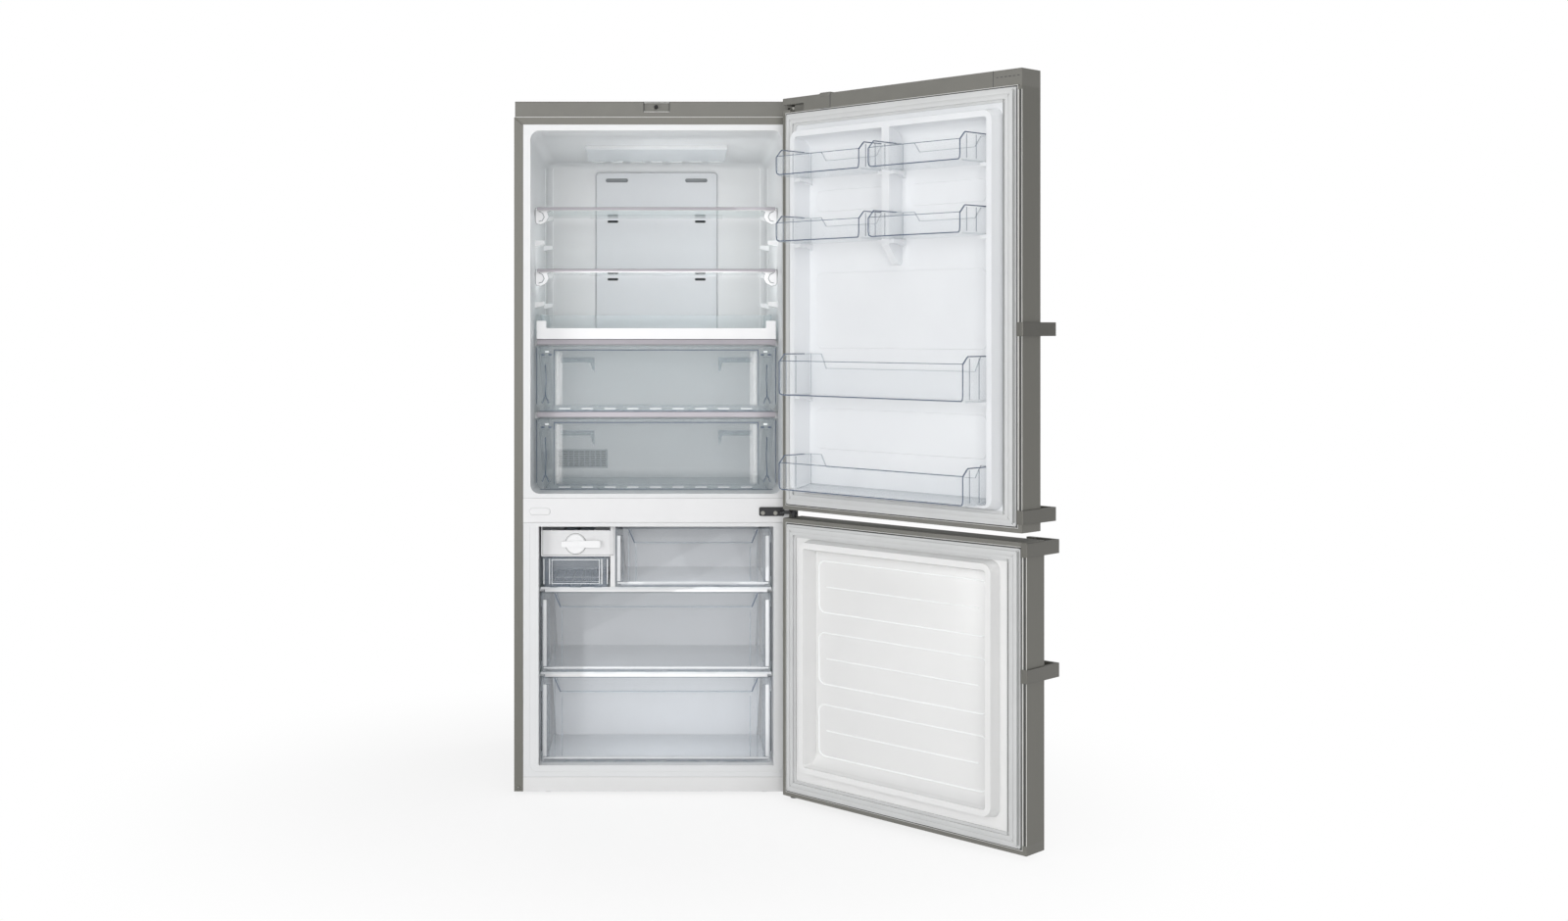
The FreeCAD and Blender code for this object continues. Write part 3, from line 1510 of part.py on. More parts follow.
def basketLedge(x0, x1, z):
    y0 = doorInner - panRelief - 1
    low = z - ledgeHeight
    outline = [(y0, low - ledgeFoot), (y0 + ledgeSlope, low), (y0 + ledgeDepth, low),
               (y0 + ledgeDepth, z - seat), (y0, z - seat)]
    return prism("YZ", x0, x1, outline)


def fridgeDoorLiner():
    core = doorCore(fridgeDoorBottom + lowCapHeight, capBottom)
    half, high = fridgeDikeHalf, fridgeDikeHigh
    rim, pan = dikePan(half, fridgeDikeLow, high, dikeHeight, fridgeSill)
    extras = [core.fuse(rim).cut(pan)]
    y0, y1 = doorInner - panRelief - 1, doorInner + dikeHeight
    foot, head = ribLow - ribFoot, high - dikeTop
    rib = [(y0, foot), (y0, head), (y1, head), (y1, ribLow + ribFoot, panCorner),
           (y0 + panRelief, foot, panCorner)]
    extras.append(prism("YZ", -ribHalfWidth, ribHalfWidth, rib))
    wall = half - dikeTop - dikeDraft - 1.0
    near, far = ribHalfWidth - 1, ribHalfWidth + ribLedge
    for z in basketLevels[:2]:
        extras += [basketLedge(-far, -near, z), basketLedge(near, far, z)]
    for z in basketLevels[:3]:
        extras += [basketLedge(-wall, -wall + ledgeReach, z), basketLedge(wall - ledgeReach, wall, z)]
    edge = half - dikeTop - 2 * dikeDraft - embossMargin
    lows = [z + height + embossGap for z, height in zip(basketLevels, basketHeights)]
    highs = [z - ledgeHeight - ledgeFoot - embossGap for z in basketLevels]
    extras.append(embossPad(-edge, edge, lows[3], highs[2]))
    extras.append(embossPad(-edge, edge, lows[2], foot - embossGap))
    inner = ribHalfWidth + embossMargin
    extras += [embossPad(-edge, -inner, lows[1], highs[0]), embossPad(inner, edge, lows[1], highs[0])]
    return joined(extras)


def freezerDoorLiner():
    core = doorCore(freezerDoorBottom + lowCapHeight, freezerDoorTop - lowCapHeight)
    half = freezerHalfWidth - freezerDikeClear
    low = freezerBottom + freezerDikeClear
    high = freezerDoorTop - gasketInset - gasketWidth - 1
    rim, pan = dikePan(half, low, high, freezerDikeHeight, dikeTop)
    extras = [core.fuse(rim).cut(pan)]
    inset = dikeTop + 2 * dikeDraft + embossMargin
    edge = half - inset
    tall = (high - low - 2 * inset) / embossPads
    groove = (2 * edge - 2 * embossGrooveEnd, embossGroove)
    y0 = doorInner - panRelief
    for k in range(embossPads):
        z0 = low + inset + tall * k
        pad = embossPad(-edge, edge, z0 + embossGap / 2, z0 + tall - embossGap / 2)
        extras.append(pad.cut(slotAt(0, z0 + tall / 2, groove, y0, y0 + 2 * embossRise)))
    return joined(extras)


def basket(x0, x1, z, height, depth, heel=0.0):
    # heel lifts the bottom towards the door, where the basket stands on the sloping sill
    y0 = doorInner - panRelief + seat
    y1 = y0 + depth
    w, top, bevel, edge = basketWall, z + height, basketBevel, basketEdge
    rest = doorInner + dikeHeight
    outside = [(y0, z + heel), (rest, z)] if heel else [(y0, z, edge)]
    inside = [(y0 + w, z + heel + w), (rest, z + w)] if heel else [(y0 + w, z + w, edge - 1)]
    outside += [(y1, z, basketCorner), (y1, top - bevel, edge), (y1 - bevel, top, edge), (y0, top)]
    inside += [(y1 - w, z + w, basketCorner - w), (y1 - w, top + 1), (y0 + w, top + 1)]
    dip = top - height * basketDip
    near, far = basketDipSide, basketDipSide + basketDipRun
    cut = prism("XZ", y0 - 1, y0 + w + 1, [(x0 + near, top + 1), (x0 + far, dip), (x1 - far, dip),
                                           (x1 - near, top + 1)])
    return prism("YZ", x0, x1, outside).cut([prism("YZ", x0 + w, x1 - w, inside), cut])


def handle(zLow, zHigh):
    w, yi, yo = halfWidth, doorInner, doorOuter
    out = yo - handleReach
    barLeft = -w + barInset - barWidth / 2
    g, lip, arm = bracketStrap, lipThickness, armGauge
    strap = [(-w + bracketLip, yi), (-w + bracketLip, yi + lip), (-w - g, yi + lip, lip - 1),
             (-w - g, out, barEdge),
             (barLeft, out), (barLeft, out + arm), (-w - g + arm, out + arm, lip), (-w - g + arm, yo),
             (-w, yo), (-w, yi)]
    half = bracketHeight / 2
    pieces = [prism("XY", z - half, z + half, strap) for z in (zLow, zHigh)]
    bar = rect(barLeft, barLeft + barWidth, out, out + barDepth, barEdge)
    return pieces + [prism("XY", zLow - half, zHigh + half, bar)]


# Feet and rollers
def foot(x):
    at = V(x, footY, 0)
    top = caseBottom - seat
    pad = revolve(at, [(0, 0), (footRadius - footEdge, 0), (footRadius, footEdge), (footRadius, 2 * footEdge),
                       (footStem + 2 * footEdge, top), (0, top)])
    return joined([pad, rod(at, V(0, 0, 1), footStem, caseBottom + footBoss - 1)])


def roller(x):
    half = rollerWidth / 2
    side, tread = half - rollerEdge, rollerRadius - rollerEdge
    tyre = revolve(V(0, 0, 0), [(0, -half), (tread, -half), (rollerRadius, -side), (rollerRadius, side),
                                (tread, half), (0, half)])
    end = half + rollerClear + earGauge + 1
    axle = rod(V(0, 0, -end), V(0, 0, 1), axleRadius, 2 * end)
    return turned(joined([tyre, axle]), V(x, rollerY, rollerRadius), V(1, 0, 0))


save("outer_case", outerCase())
save("rear_panel", rearPanel())
save("base_plate", basePlate())
save("fridge_liner", fridgeLiner())
save("freezer_liner", freezerLiner())
save("cabinet_foam", cabinetFoam())
save("mullion_cover", mullionCover())
save("mullion_plug", mullionPlug())
save("kick_plate", kickPlate())
save("top_cover", topCover())
save("door_switch", doorSwitch())
save("top_hinge", topHinge())
save("middle_hinge", middleHinge())
save("bottom_hinge", bottomHinge())
save("hinge_bolts", *hingeBolts())
save("lamp_cover", lampCover())
save("airflow_duct", airflowDuct())
save("return_grille", returnGrille())
save("freezer_rear_cover", freezerRearCover())
save("evaporator", evaporator())
save("condenser", condenser())
save("compressor", compressor())
save("compressor_mounts", *compressorMounts())
save("drain_pan", drainPan())
save("machine_cover", machineCover())

trims = []
for top in shelfHeights:
    trims += shelfTrims(top, shelfTrimHeight, shelfTrimRise)
for top in lidHeights:
    trims += shelfTrims(top, lidTrimHeight, 0.0)
save("shelf_panes", *[pane(top) for top in shelfHeights + lidHeights])
save("shelf_trims", *trims)
save("tray_frame", trayFrame())
save("tray_tub", trayTub())
crisperHead = paneThickness + lugHeight + crisperLidGap
save("crisper_upper", crisper(lidHeights[1] + seat, lidHeights[0] - crisperHead))
save("crisper_lower", crisper(fridgeBottom + seat, lidHeights[1] - crisperHead))

shelfEdge = freezerHalfWidth - shelfClear
shelves = []
for top in freezerShelfHeights:
    shelves.append(block(-shelfEdge, shelfEdge, drawerFront + freezerShelfSet,
                         rearCoverFront - freezerShelfGap,
                         top - freezerShelfThickness, top, trimCorner))
save("freezer_shelves", *shelves)
drawerTop = freezerShelfThickness + freezerRailHeight + railGap
upper, lower = freezerShelfHeights
smallLeft = iceLeft + iceWidth + dividerWidth + iceBinGap
save("drawer_small", freezerDrawer(smallLeft, drawerHalfWidth, drawerDepth, upper + seat,
                                   freezerTop - drawerHeadroom))
save("drawer_middle", freezerDrawer(-drawerHalfWidth, drawerHalfWidth, drawerDepth, lower + seat,
                                    upper - drawerTop))
save("drawer_lower", freezerDrawer(-drawerHalfWidth, drawerHalfWidth, lowerDrawerDepth, freezerBottom + seat,
                                   lower - drawerTop))
save("ice_maker_housing", iceHousing())
save("ice_tray", iceTray())
save("ice_knob", iceKnob())
save("ice_bin", iceBin())

coldFan = V(coldFanX, rearCoverFront + rearCoverWall + bossHeight + seat, coldFanZ)
save("evaporator_fan", fan(coldFan, V(0, 1, 0)))
warmFan = V(shroudX + bossHeight + seat, condenserFront + condenserWide / 2, machineFloor + condenserHigh / 2)
save("condenser_fan", fan(warmFan, V(1, 0, 0)))
save("foot_left", foot(-footX))
save("foot_right", foot(footX))
save("rear_rollers", roller(-rollerX), roller(rollerX))

fridgeDoor = {
    "fridge_door_skin": [doorSkinShell(fridgeDoorBottom + lowCapHeight, capBottom)],
    "fridge_door_liner": [fridgeDoorLiner()],
    "fridge_door_gasket": [gasket(fridgeDoorBottom + gasketInset, capBottom - gasketHead)],
    "fridge_door_caps": fridgeCaps(),
    "fridge_handle": handle(fridgeHandleLow, fridgeHandleLow + fridgeHandleSpan),
}
ribEdge = ribHalfWidth + basketRibGap
for name, level, tall in zip(("upper", "middle"), basketLevels, basketHeights):
    fridgeDoor["basket_" + name + "_left"] = [basket(ribEdge, basketHalf, level, tall, smallBasketDepth)]
    fridgeDoor["basket_" + name + "_right"] = [basket(-basketHalf, -ribEdge, level, tall, smallBasketDepth)]
sillHeel = dikeDraft / dikeHeight * (dikeHeight + panRelief - seat)
fridgeDoor["basket_large"] = [basket(-basketHalf, basketHalf, basketLevels[2], basketHeights[2], basketDepth)]
fridgeDoor["basket_bottom"] = [basket(-basketHalf, basketHalf, basketLevels[3], basketHeights[3], basketDepth,
                                      sillHeel)]
freezerDoor = {
    "freezer_door_skin": [doorSkinShell(freezerDoorBottom + lowCapHeight, freezerDoorTop - lowCapHeight)],
    "freezer_door_liner": [freezerDoorLiner()],
    "freezer_door_gasket": [gasket(freezerDoorBottom + gasketInset, freezerDoorTop - gasketInset)],
    "freezer_door_caps": freezerCaps(),
    "freezer_handle": handle(freezerHandleHigh - freezerHandleSpan, freezerHandleHigh),
}
for pieces, angle in ((fridgeDoor, fridgeDoorAngle), (freezerDoor, freezerDoorAngle)):
    for name, shapes in pieces.items():
        save(name, *[openDoor(shape, angle) for shape in shapes])
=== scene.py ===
import json
import math

import bmesh
import bpy
from mathutils import Matrix, Vector


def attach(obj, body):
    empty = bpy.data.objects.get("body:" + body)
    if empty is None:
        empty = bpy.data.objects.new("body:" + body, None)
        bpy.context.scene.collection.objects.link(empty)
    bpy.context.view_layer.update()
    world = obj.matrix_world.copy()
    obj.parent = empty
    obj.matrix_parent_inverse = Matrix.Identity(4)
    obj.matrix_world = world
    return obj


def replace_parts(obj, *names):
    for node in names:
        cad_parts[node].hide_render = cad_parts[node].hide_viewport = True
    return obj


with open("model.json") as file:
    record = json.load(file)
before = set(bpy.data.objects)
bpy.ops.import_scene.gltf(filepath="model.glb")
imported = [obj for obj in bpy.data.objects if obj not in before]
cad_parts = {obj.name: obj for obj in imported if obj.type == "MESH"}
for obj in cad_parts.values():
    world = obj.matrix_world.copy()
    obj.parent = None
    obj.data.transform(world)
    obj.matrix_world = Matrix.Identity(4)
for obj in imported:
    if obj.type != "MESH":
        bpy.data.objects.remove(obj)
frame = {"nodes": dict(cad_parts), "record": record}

nodes = frame["nodes"]
bodyOf = {n: body for body, members in frame["record"]["behaviour"]["bodies"].items() for n in members}
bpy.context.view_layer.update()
print("frame loaded:", len(nodes), "CAD nodes")


# shader maths: a wrapped socket that grows Math nodes from Python expressions
class Socket:
    def __init__(self, finish, link):
        self.finish = finish
        self.link = link

    def join(self, operation, a, b):
        return self.finish.add("ShaderNodeMath", {"operation": operation}, {0: a, 1: b})

    def __add__(self, other):
        return self.join("ADD", self, other)

    def __radd__(self, other):
        return self.join("ADD", other, self)

    def __sub__(self, other):
        return self.join("SUBTRACT", self, other)

    def __rsub__(self, other):
        return self.join("SUBTRACT", other, self)

    def __mul__(self, other):
        return self.join("MULTIPLY", self, other)

    def __rmul__(self, other):
        return self.join("MULTIPLY", other, self)

    def __gt__(self, other):
        return self.join("GREATER_THAN", self, other)

    def __lt__(self, other):
        return self.join("LESS_THAN", self, other)


class Finish:
    def __init__(self, name):
        self.material = bpy.data.materials.new(name)
        self.material.use_nodes = True
        self.tree = self.material.node_tree
        self.tree.nodes.clear()
        self.shader = self.tree.nodes.new("ShaderNodeBsdfPrincipled")
        self.output = self.tree.nodes.new("ShaderNodeOutputMaterial")
        self.lit = Socket(self, self.shader.outputs["BSDF"])
        self.surface(self.lit)

    def surface(self, shader):
        self.tree.links.new(shader.link, self.output.inputs["Surface"])

    # any node: its type, its settings, then the values or links of its sockets
    def add(self, kind, settings=None, inputs=None, out=0):
        node = self.tree.nodes.new(kind)
        for key, value in (settings or {}).items():
            setattr(node, key, value)
        for key, value in (inputs or {}).items():
            self.feed(node.inputs[key], value)
        return Socket(self, node.outputs[out])

    def feed(self, entry, value):
        if isinstance(value, Socket):
            self.tree.links.new(value.link, entry)
        elif entry.type == "RGBA" and len(value) == 3:
            entry.default_value = (*value, 1.0)
        else:
            entry.default_value = value

    # sockets of the main shader, with _ for a space in the name
    def set(self, **sockets):
        for key, value in sockets.items():
            self.feed(self.shader.inputs[key.replace("_", " ")], value)

    def spot(self):
        return self.add("ShaderNodeTexCoord", out="Object")

    # object-space noise, stretched along an axis by its scales
    def grain(self, scale, stretch=(1.0, 1.0, 1.0), detail=3.0, rough=0.55):
        spot = self.add("ShaderNodeMapping", {}, {"Vector": self.spot(), "Scale": stretch})
        return self.add("ShaderNodeTexNoise", {},
                        {"Vector": spot, "Scale": scale, "Detail": detail, "Roughness": rough})

    # a noise as a swing to either side of a value
    def sway(self, value, noise, amount):
        return value + (noise - 0.5) * amount

    # the colour sockets of a Mix node are told apart by their numbers only
    def blend(self, mask, first, second):
        return self.add("ShaderNodeMix", {"data_type": "RGBA"}, {0: mask, 6: first, 7: second}, out=2)

    def dents(self, height, strength, distance):
        return self.add("ShaderNodeBump", {}, {"Height": height, "Strength": strength, "Distance": distance})


# an sRGB hex code as linear values
def tone(hexCode):
    parts = [int(hexCode[i:i + 2], 16) / 255 for i in (0, 2, 4)]
    return tuple(c / 12.92 if c <= 0.04045 else ((c + 0.055) / 1.055) ** 2.4 for c in parts)


# sheet steel, brushed along its height
def steelFinish(name, look):
    finish = Finish(name)
    fine = finish.grain(look["fine"], look["along"], detail=2.0)
    broad = finish.grain(look["broad"], look["cloud"])
    mask = fine * look["fineShare"] + broad * look["broadShare"]
    shade = finish.blend(mask, tone(look["dark"]), tone(look["light"]))
    rough = finish.sway(look["rough"], fine, look["roughSwing"])
    finish.set(Base_Color=shade, Roughness=rough, Metallic=look["metal"])
    finish.set(Normal=finish.dents(fine, look["bump"], look["depth"]))
    return finish.material


def steel(dark, light, fine, along, broad, rough, roughSwing, metal, bump):
    return {"dark": dark, "light": light, "fine": fine, "along": (1.0, 1.0, along), "broad": broad, "rough": rough,
            "roughSwing": roughSwing, "metal": metal, "bump": bump, "cloud": (1.0, 1.0, 0.15), "fineShare": 0.55,
            "broadShare": 0.45, "depth": 0.0002}


steelLooks = {
    "caseSteel": steel("696862", "787771", 700.0, 0.02, 2.0, 0.46, 0.12, 0.35, 0.04),
    "doorSteel": steel("6b6a64", "807f79", 900.0, 0.012, 2.5, 0.48, 0.16, 0.35, 0.05),
    "handleSteel": steel("5f5e5a", "777670", 1200.0, 0.01, 4.0, 0.36, 0.14, 0.5, 0.05),
    "hingeSteel": steel("75746f", "908f89", 500.0, 1.0, 12.0, 0.36, 0.1, 0.7, 0.06),
    "darkSteel": steel("1c1c1e", "303033", 600.0, 1.0, 14.0, 0.36, 0.15, 0.4, 0.08),
}


# zinc-coated sheet with a faint spangle
def zincFinish(name, look):
    finish = Finish(name)
    flake = finish.add("ShaderNodeTexVoronoi", {}, {"Vector": finish.spot(), "Scale": look["spangle"]}, out="Color")
    gray = finish.add("ShaderNodeSeparateColor", {}, {"Color": flake})
    shade = finish.blend(gray, tone(look["dark"]), tone(look["light"]))
    rough = finish.sway(look["rough"], gray, look["roughSwing"])
    finish.set(Base_Color=shade, Roughness=rough, Metallic=look["metal"])
    finish.set(Normal=finish.dents(finish.grain(look["wave"]), look["bump"], look["depth"]))
    return finish.material


def zinc(dark, light, spangle, rough, metal):
    return {"dark": dark, "light": light, "spangle": spangle, "rough": rough, "metal": metal, "roughSwing": 0.18,
            "wave": 60.0, "bump": 0.04, "depth": 0.0006}


zincLooks = {
    "zincSheet": zinc("96989a", "a4a6a8", 130.0, 0.42, 0.7),
    "finAluminium": zinc("b5b8bb", "cdd0d3", 260.0, 0.34, 0.9),
}


# shelf trims: grey along the front, pale behind the panes
def trimFinish(name, look):
    finish = Finish(name)
    behind = finish.add("ShaderNodeSeparateXYZ", {}, {"Vector": finish.spot()}, out="Y") > look["behind"]
    broad = finish.grain(look["broad"], detail=2.0)
    grey = finish.blend(broad, tone(look["dark"]), tone(look["light"]))
    rough = finish.sway(look["rough"], broad, look["roughSwing"])
    finish.set(Base_Color=finish.blend(behind, grey, tone(look["pale"])), Roughness=rough,
               Alpha=1 - behind * look["thin"])
    finish.set(Normal=finish.dents(finish.grain(look["fine"]), look["bump"], look["depth"]))
    return finish.material


trimLook = {"behind": 0.3, "thin": 0.94, "dark": "9d999f", "light": "aba7ad", "pale": "d4d7da", "broad": 18.0,
            "fine": 1200.0, "rough": 0.36, "roughSwing": 0.1, "bump": 0.05, "depth": 0.0002}


# opaque mouldings: a fine grain, a little mottling, soft gloss
def mouldedFinish(name, look):
    finish = Finish(name)
    broad = finish.grain(look["broad"], detail=2.0)
    fine = finish.grain(look["fine"], detail=2.0, rough=0.5)
    shade = finish.blend(broad, tone(look["dark"]), tone(look["light"]))
    finish.set(Base_Color=shade, Roughness=finish.sway(look["rough"], broad, look["roughSwing"]))
    finish.set(Normal=finish.dents(fine, look["bump"], look["depth"]))
    finish.set(Coat_Weight=look["coat"], Coat_Roughness=look["coatRough"])
    return finish.material


def moulded(dark, light, rough, broad=12.0, fine=900.0, bump=0.05, depth=0.0003, coat=0.0):
    return {"dark": dark, "light": light, "rough": rough, "broad": broad, "fine": fine, "bump": bump, "depth": depth,
            "coat": coat, "roughSwing": 0.1, "coatRough": 0.12}


mouldedLooks = {
    "linerWhite": moulded("d9dadb", "e0e1e2", 0.34, 6.0, 420.0, 0.04, 0.0004, 0.12),
    "doorWhite": moulded("e2e4e7", "e9ebed", 0.36, 6.0, 420.0, 0.04, 0.0004, 0.12),
    "panWhite": moulded("e2e2e2", "e9e9e8", 0.34, 6.0, 420.0, 0.04, 0.0004, 0.12),
    "panelWhite": moulded("dededf", "e4e4e5", 0.36, 9.0, 900.0, 0.05, 0.0003, 0.1),
    "kickWhite": moulded("dadada", "e1e1e1", 0.4, 9.0, 900.0, 0.06),
    "mouldedWhite": moulded("ececed", "f2f2f3", 0.34, 9.0, 900.0, 0.05, 0.0003, 0.1),
    "capGrey": moulded("6e6d68", "7a7973", 0.5, 14.0, 1600.0, 0.12, 0.0002),
    "switchBlack": moulded("141415", "212123", 0.4, 20.0, 1400.0, 0.12, 0.0002),
    "grilleGrey": moulded("8b9093", "969b9e", 0.45, 12.0, 1100.0, 0.08),
    "ductGrey": moulded("d6d8db", "dedfe2", 0.42, 7.0, 1100.0, 0.08),
    "compressorEnamel": moulded("0d0d0e", "1a1a1c", 0.22, 16.0, 300.0, 0.05, 0.0005, 0.4),
    "mountRubber": moulded("1b1b1b", "292929", 0.75, 30.0, 800.0, 0.2),
    "gasketGrey": moulded("c7c8c8", "d3d4d4", 0.6, 12.0, 500.0, 0.06, 0.0004),
    "foamFill": moulded("d9cfa8", "e6dcb8", 0.9, 40.0, 260.0, 0.5, 0.001),
    "iceBlue": moulded("bccbd8", "cad8e3", 0.3, 14.0, 700.0, 0.04, 0.0003, 0.2),
    # the two slot colours: painted shade for the depth of slots and gaps; the grey also outlines the shelf claws
    "slotGrey": moulded("8e9193", "9a9d9f", 0.6, 30.0),
    "slotDark": moulded("2b2d30", "3a3d40", 0.7, 30.0),
    # seam dark and seam grey: colours of real seams, also used for painted shade in gaps and recesses
    "seamDark": moulded("3a3b3c", "4a4b4c", 0.6, 30.0),
    "seamGrey": moulded("8e908f", "9c9e9d", 0.5, 30.0),
    "edgeLight": moulded("d2d2cf", "dededb", 0.35, 30.0),
    "lineSlate": moulded("46536a", "57647a", 0.25, 60.0, 1500.0, 0.04, 0.0002, 0.3),
    "edgeWhite": moulded("d3d5d8", "dddfe1", 0.34, 40.0, 1200.0, 0.04, 0.0002, 0.15),
    "lineWhite": moulded("f4f6f7", "fbfcfc", 0.3, 40.0, 1200.0, 0.04, 0.0002, 0.2),
}


# clear mouldings and panes: thin tint that closes up where the surface turns away
def clearFinish(name, look):
    finish = Finish(name)
    mottle = finish.grain(look["mottle"], detail=2.0)
    turn = finish.add("ShaderNodeLayerWeight", {}, {"Blend": look["turn"]}, out="Facing")
    shade = finish.blend(turn, tone(look["tint"]), tone(look["edge"]))
    cover = finish.sway(look["alpha"] + turn * look["alphaTurn"], mottle, look["cloud"])
    finish.set(Base_Color=shade, Alpha=cover, Roughness=finish.sway(look["rough"], mottle, look["roughSwing"]))
    finish.set(Normal=finish.dents(finish.grain(look["wave"]), look["bump"], look["depth"]), IOR=look["index"])
    return finish.material


def clear(tint, edge, alpha, alphaTurn, rough, turn=0.3, mottle=9.0, cloud=0.03, wave=15.0, bump=0.06):
    return {"tint": tint, "edge": edge, "alpha": alpha, "alphaTurn": alphaTurn, "rough": rough, "turn": turn,
            "mottle": mottle, "cloud": cloud, "wave": wave, "bump": bump, "roughSwing": 0.06, "depth": 0.0006,
            "index": 1.5}


clearLooks = {
    "crisperClear": clear("dfe9ee", "a8b9c2", 0.075, 0.34, 0.08),
    "basketClear": clear("eef2f5", "c3ced6", 0.015, 0.26, 0.06),
    "drawerFrost": clear("eef1f5", "c2cad3", 0.15, 0.34, 0.16, 0.35, 10.0, 0.04),
    "binBlue": clear("d0d9e4", "a5b2c6", 0.14, 0.32, 0.1),
    "tubClear": clear("cfdfe3", "a3b9bf", 0.12, 0.4, 0.1),
    "shelfGlass": clear("d9e6e6", "8fb0ac", 0.05, 0.45, 0.03, 0.25, 3.0, 0.01, 3.0, 0.02),
    "lampLens": clear("f6f7f8", "dde2e6", 0.55, 0.3, 0.2, 0.4, 10.0, 0.04, 120.0, 0.2),
    "rimFaint": clear("aebac4", "92a1ad", 0.3, 0.4, 0.12, 0.5, 20.0, 0.1, 60.0),
    "rimSlate": clear("6f7f90", "55657a", 0.55, 0.35, 0.14, 0.5, 20.0, 0.1, 60.0),
    "shadeClear": clear("8fa1ab", "7c8f9a", 0.42, 0.2, 0.3, 0.4, 20.0, 0.06, 30.0),
    # pale bars on the crisper sides: painted highlights
    "glowClear": clear("ffffff", "f0f4f6", 0.13, 0.2, 0.2, 0.4, 20.0, 0.08, 30.0),
    "frostBack": clear("e6e9ed", "cfd5db", 0.8, 0.15, 0.3, 0.4, 12.0, 0.06, 30.0),
}

finishes = {"trimGrey": trimFinish("trimGrey", trimLook)}
for make, looks in ((steelFinish, steelLooks), (zincFinish, zincLooks), (mouldedFinish, mouldedLooks),
                    (clearFinish, clearLooks)):
    finishes.update({name: make(name, look) for name, look in looks.items()})
print("finishes made:", len(finishes))

nodeFinish = {
    "caseSteel": ["outer_case"],
    "doorSteel": ["fridge_door_skin", "freezer_door_skin"],
    "handleSteel": ["fridge_handle", "freezer_handle"],
    "hingeSteel": ["top_hinge", "hinge_bolts"],
    "darkSteel": ["middle_hinge", "bottom_hinge", "condenser"],
    "zincSheet": ["rear_panel", "base_plate", "machine_cover"],
    "finAluminium": ["evaporator"],
    "linerWhite": ["fridge_liner", "freezer_liner"],
    "doorWhite": ["fridge_door_liner"],
    "panWhite": ["freezer_door_liner"],
    "mouldedWhite": ["freezer_rear_cover", "ice_knob", "tray_frame"],
    "panelWhite": ["mullion_cover", "mullion_plug", "ice_maker_housing"],
    "kickWhite": ["kick_plate"],
    "capGrey": ["top_cover", "fridge_door_caps", "freezer_door_caps"],
    "switchBlack": ["door_switch", "drain_pan", "evaporator_fan", "condenser_fan", "foot_left", "foot_right",
                    "rear_rollers"],
    "ductGrey": ["airflow_duct"],
    "grilleGrey": ["return_grille"],
    "compressorEnamel": ["compressor"],
    "mountRubber": ["compressor_mounts"],
    "trimGrey": ["shelf_trims"],
    "gasketGrey": ["fridge_door_gasket", "freezer_door_gasket"],
    "foamFill": ["cabinet_foam"],
    "iceBlue": ["ice_tray"],
    "crisperClear": ["crisper_upper", "crisper_lower"],
    "basketClear": ["basket_upper_left", "basket_upper_right", "basket_middle_left", "basket_middle_right",
                    "basket_large", "basket_bottom"],
    "drawerFrost": ["drawer_small", "drawer_middle", "drawer_lower"],
    "binBlue": ["ice_bin"],
    "tubClear": ["tray_tub"],
    "shelfGlass": ["shelf_panes", "freezer_shelves"],
    "lampLens": ["lamp_cover"],
}
for finishName, members in nodeFinish.items():
    for name in members:
        slots = nodes[name].data.materials
        slots.clear()
        slots.append(finishes[finishName])
print("nodes without a finish:", sorted(set(nodes) - {n for members in nodeFinish.values() for n in members}))


# pieces are drawn in millimetres with the doors shut, then swung open with the door that carries them
perMetre = 1000.0
sharpAngle = 40.0
sortAxis = Vector((1.0, 37.0, 1409.0))  # faces are put in order along it: a bevel leaves them in none
hingeAxis = Vector((0.338, -0.036, 0.0))
doorSwing = {"fridge_door": 133.0, "freezer_door": 134.3}


def swingOf(body):
    axis = Matrix.Translation(hingeAxis)
    return axis @ Matrix.Rotation(math.radians(doorSwing.get(body, 0.0)), 4, "Z") @ axis.inverted()


def shutBox(node):
    back = swingOf(bodyOf[node]).inverted()
    spots = [back @ corner.co * perMetre for corner in nodes[node].data.vertices]
    return [[pick(spot[k] for spot in spots) for k in range(3)] for pick in (min, max)]


# an arc seen from the front, about a centre given as X, Y and Z, its angles in quarter turns
def arc(centre, radius, first, last, steps):
    angles = [math.pi / 2 * (first + (last - first) * k / steps) for k in range(steps + 1)]
    return [(centre[0] + radius * math.cos(a), centre[1], centre[2] + radius * math.sin(a)) for a in angles]


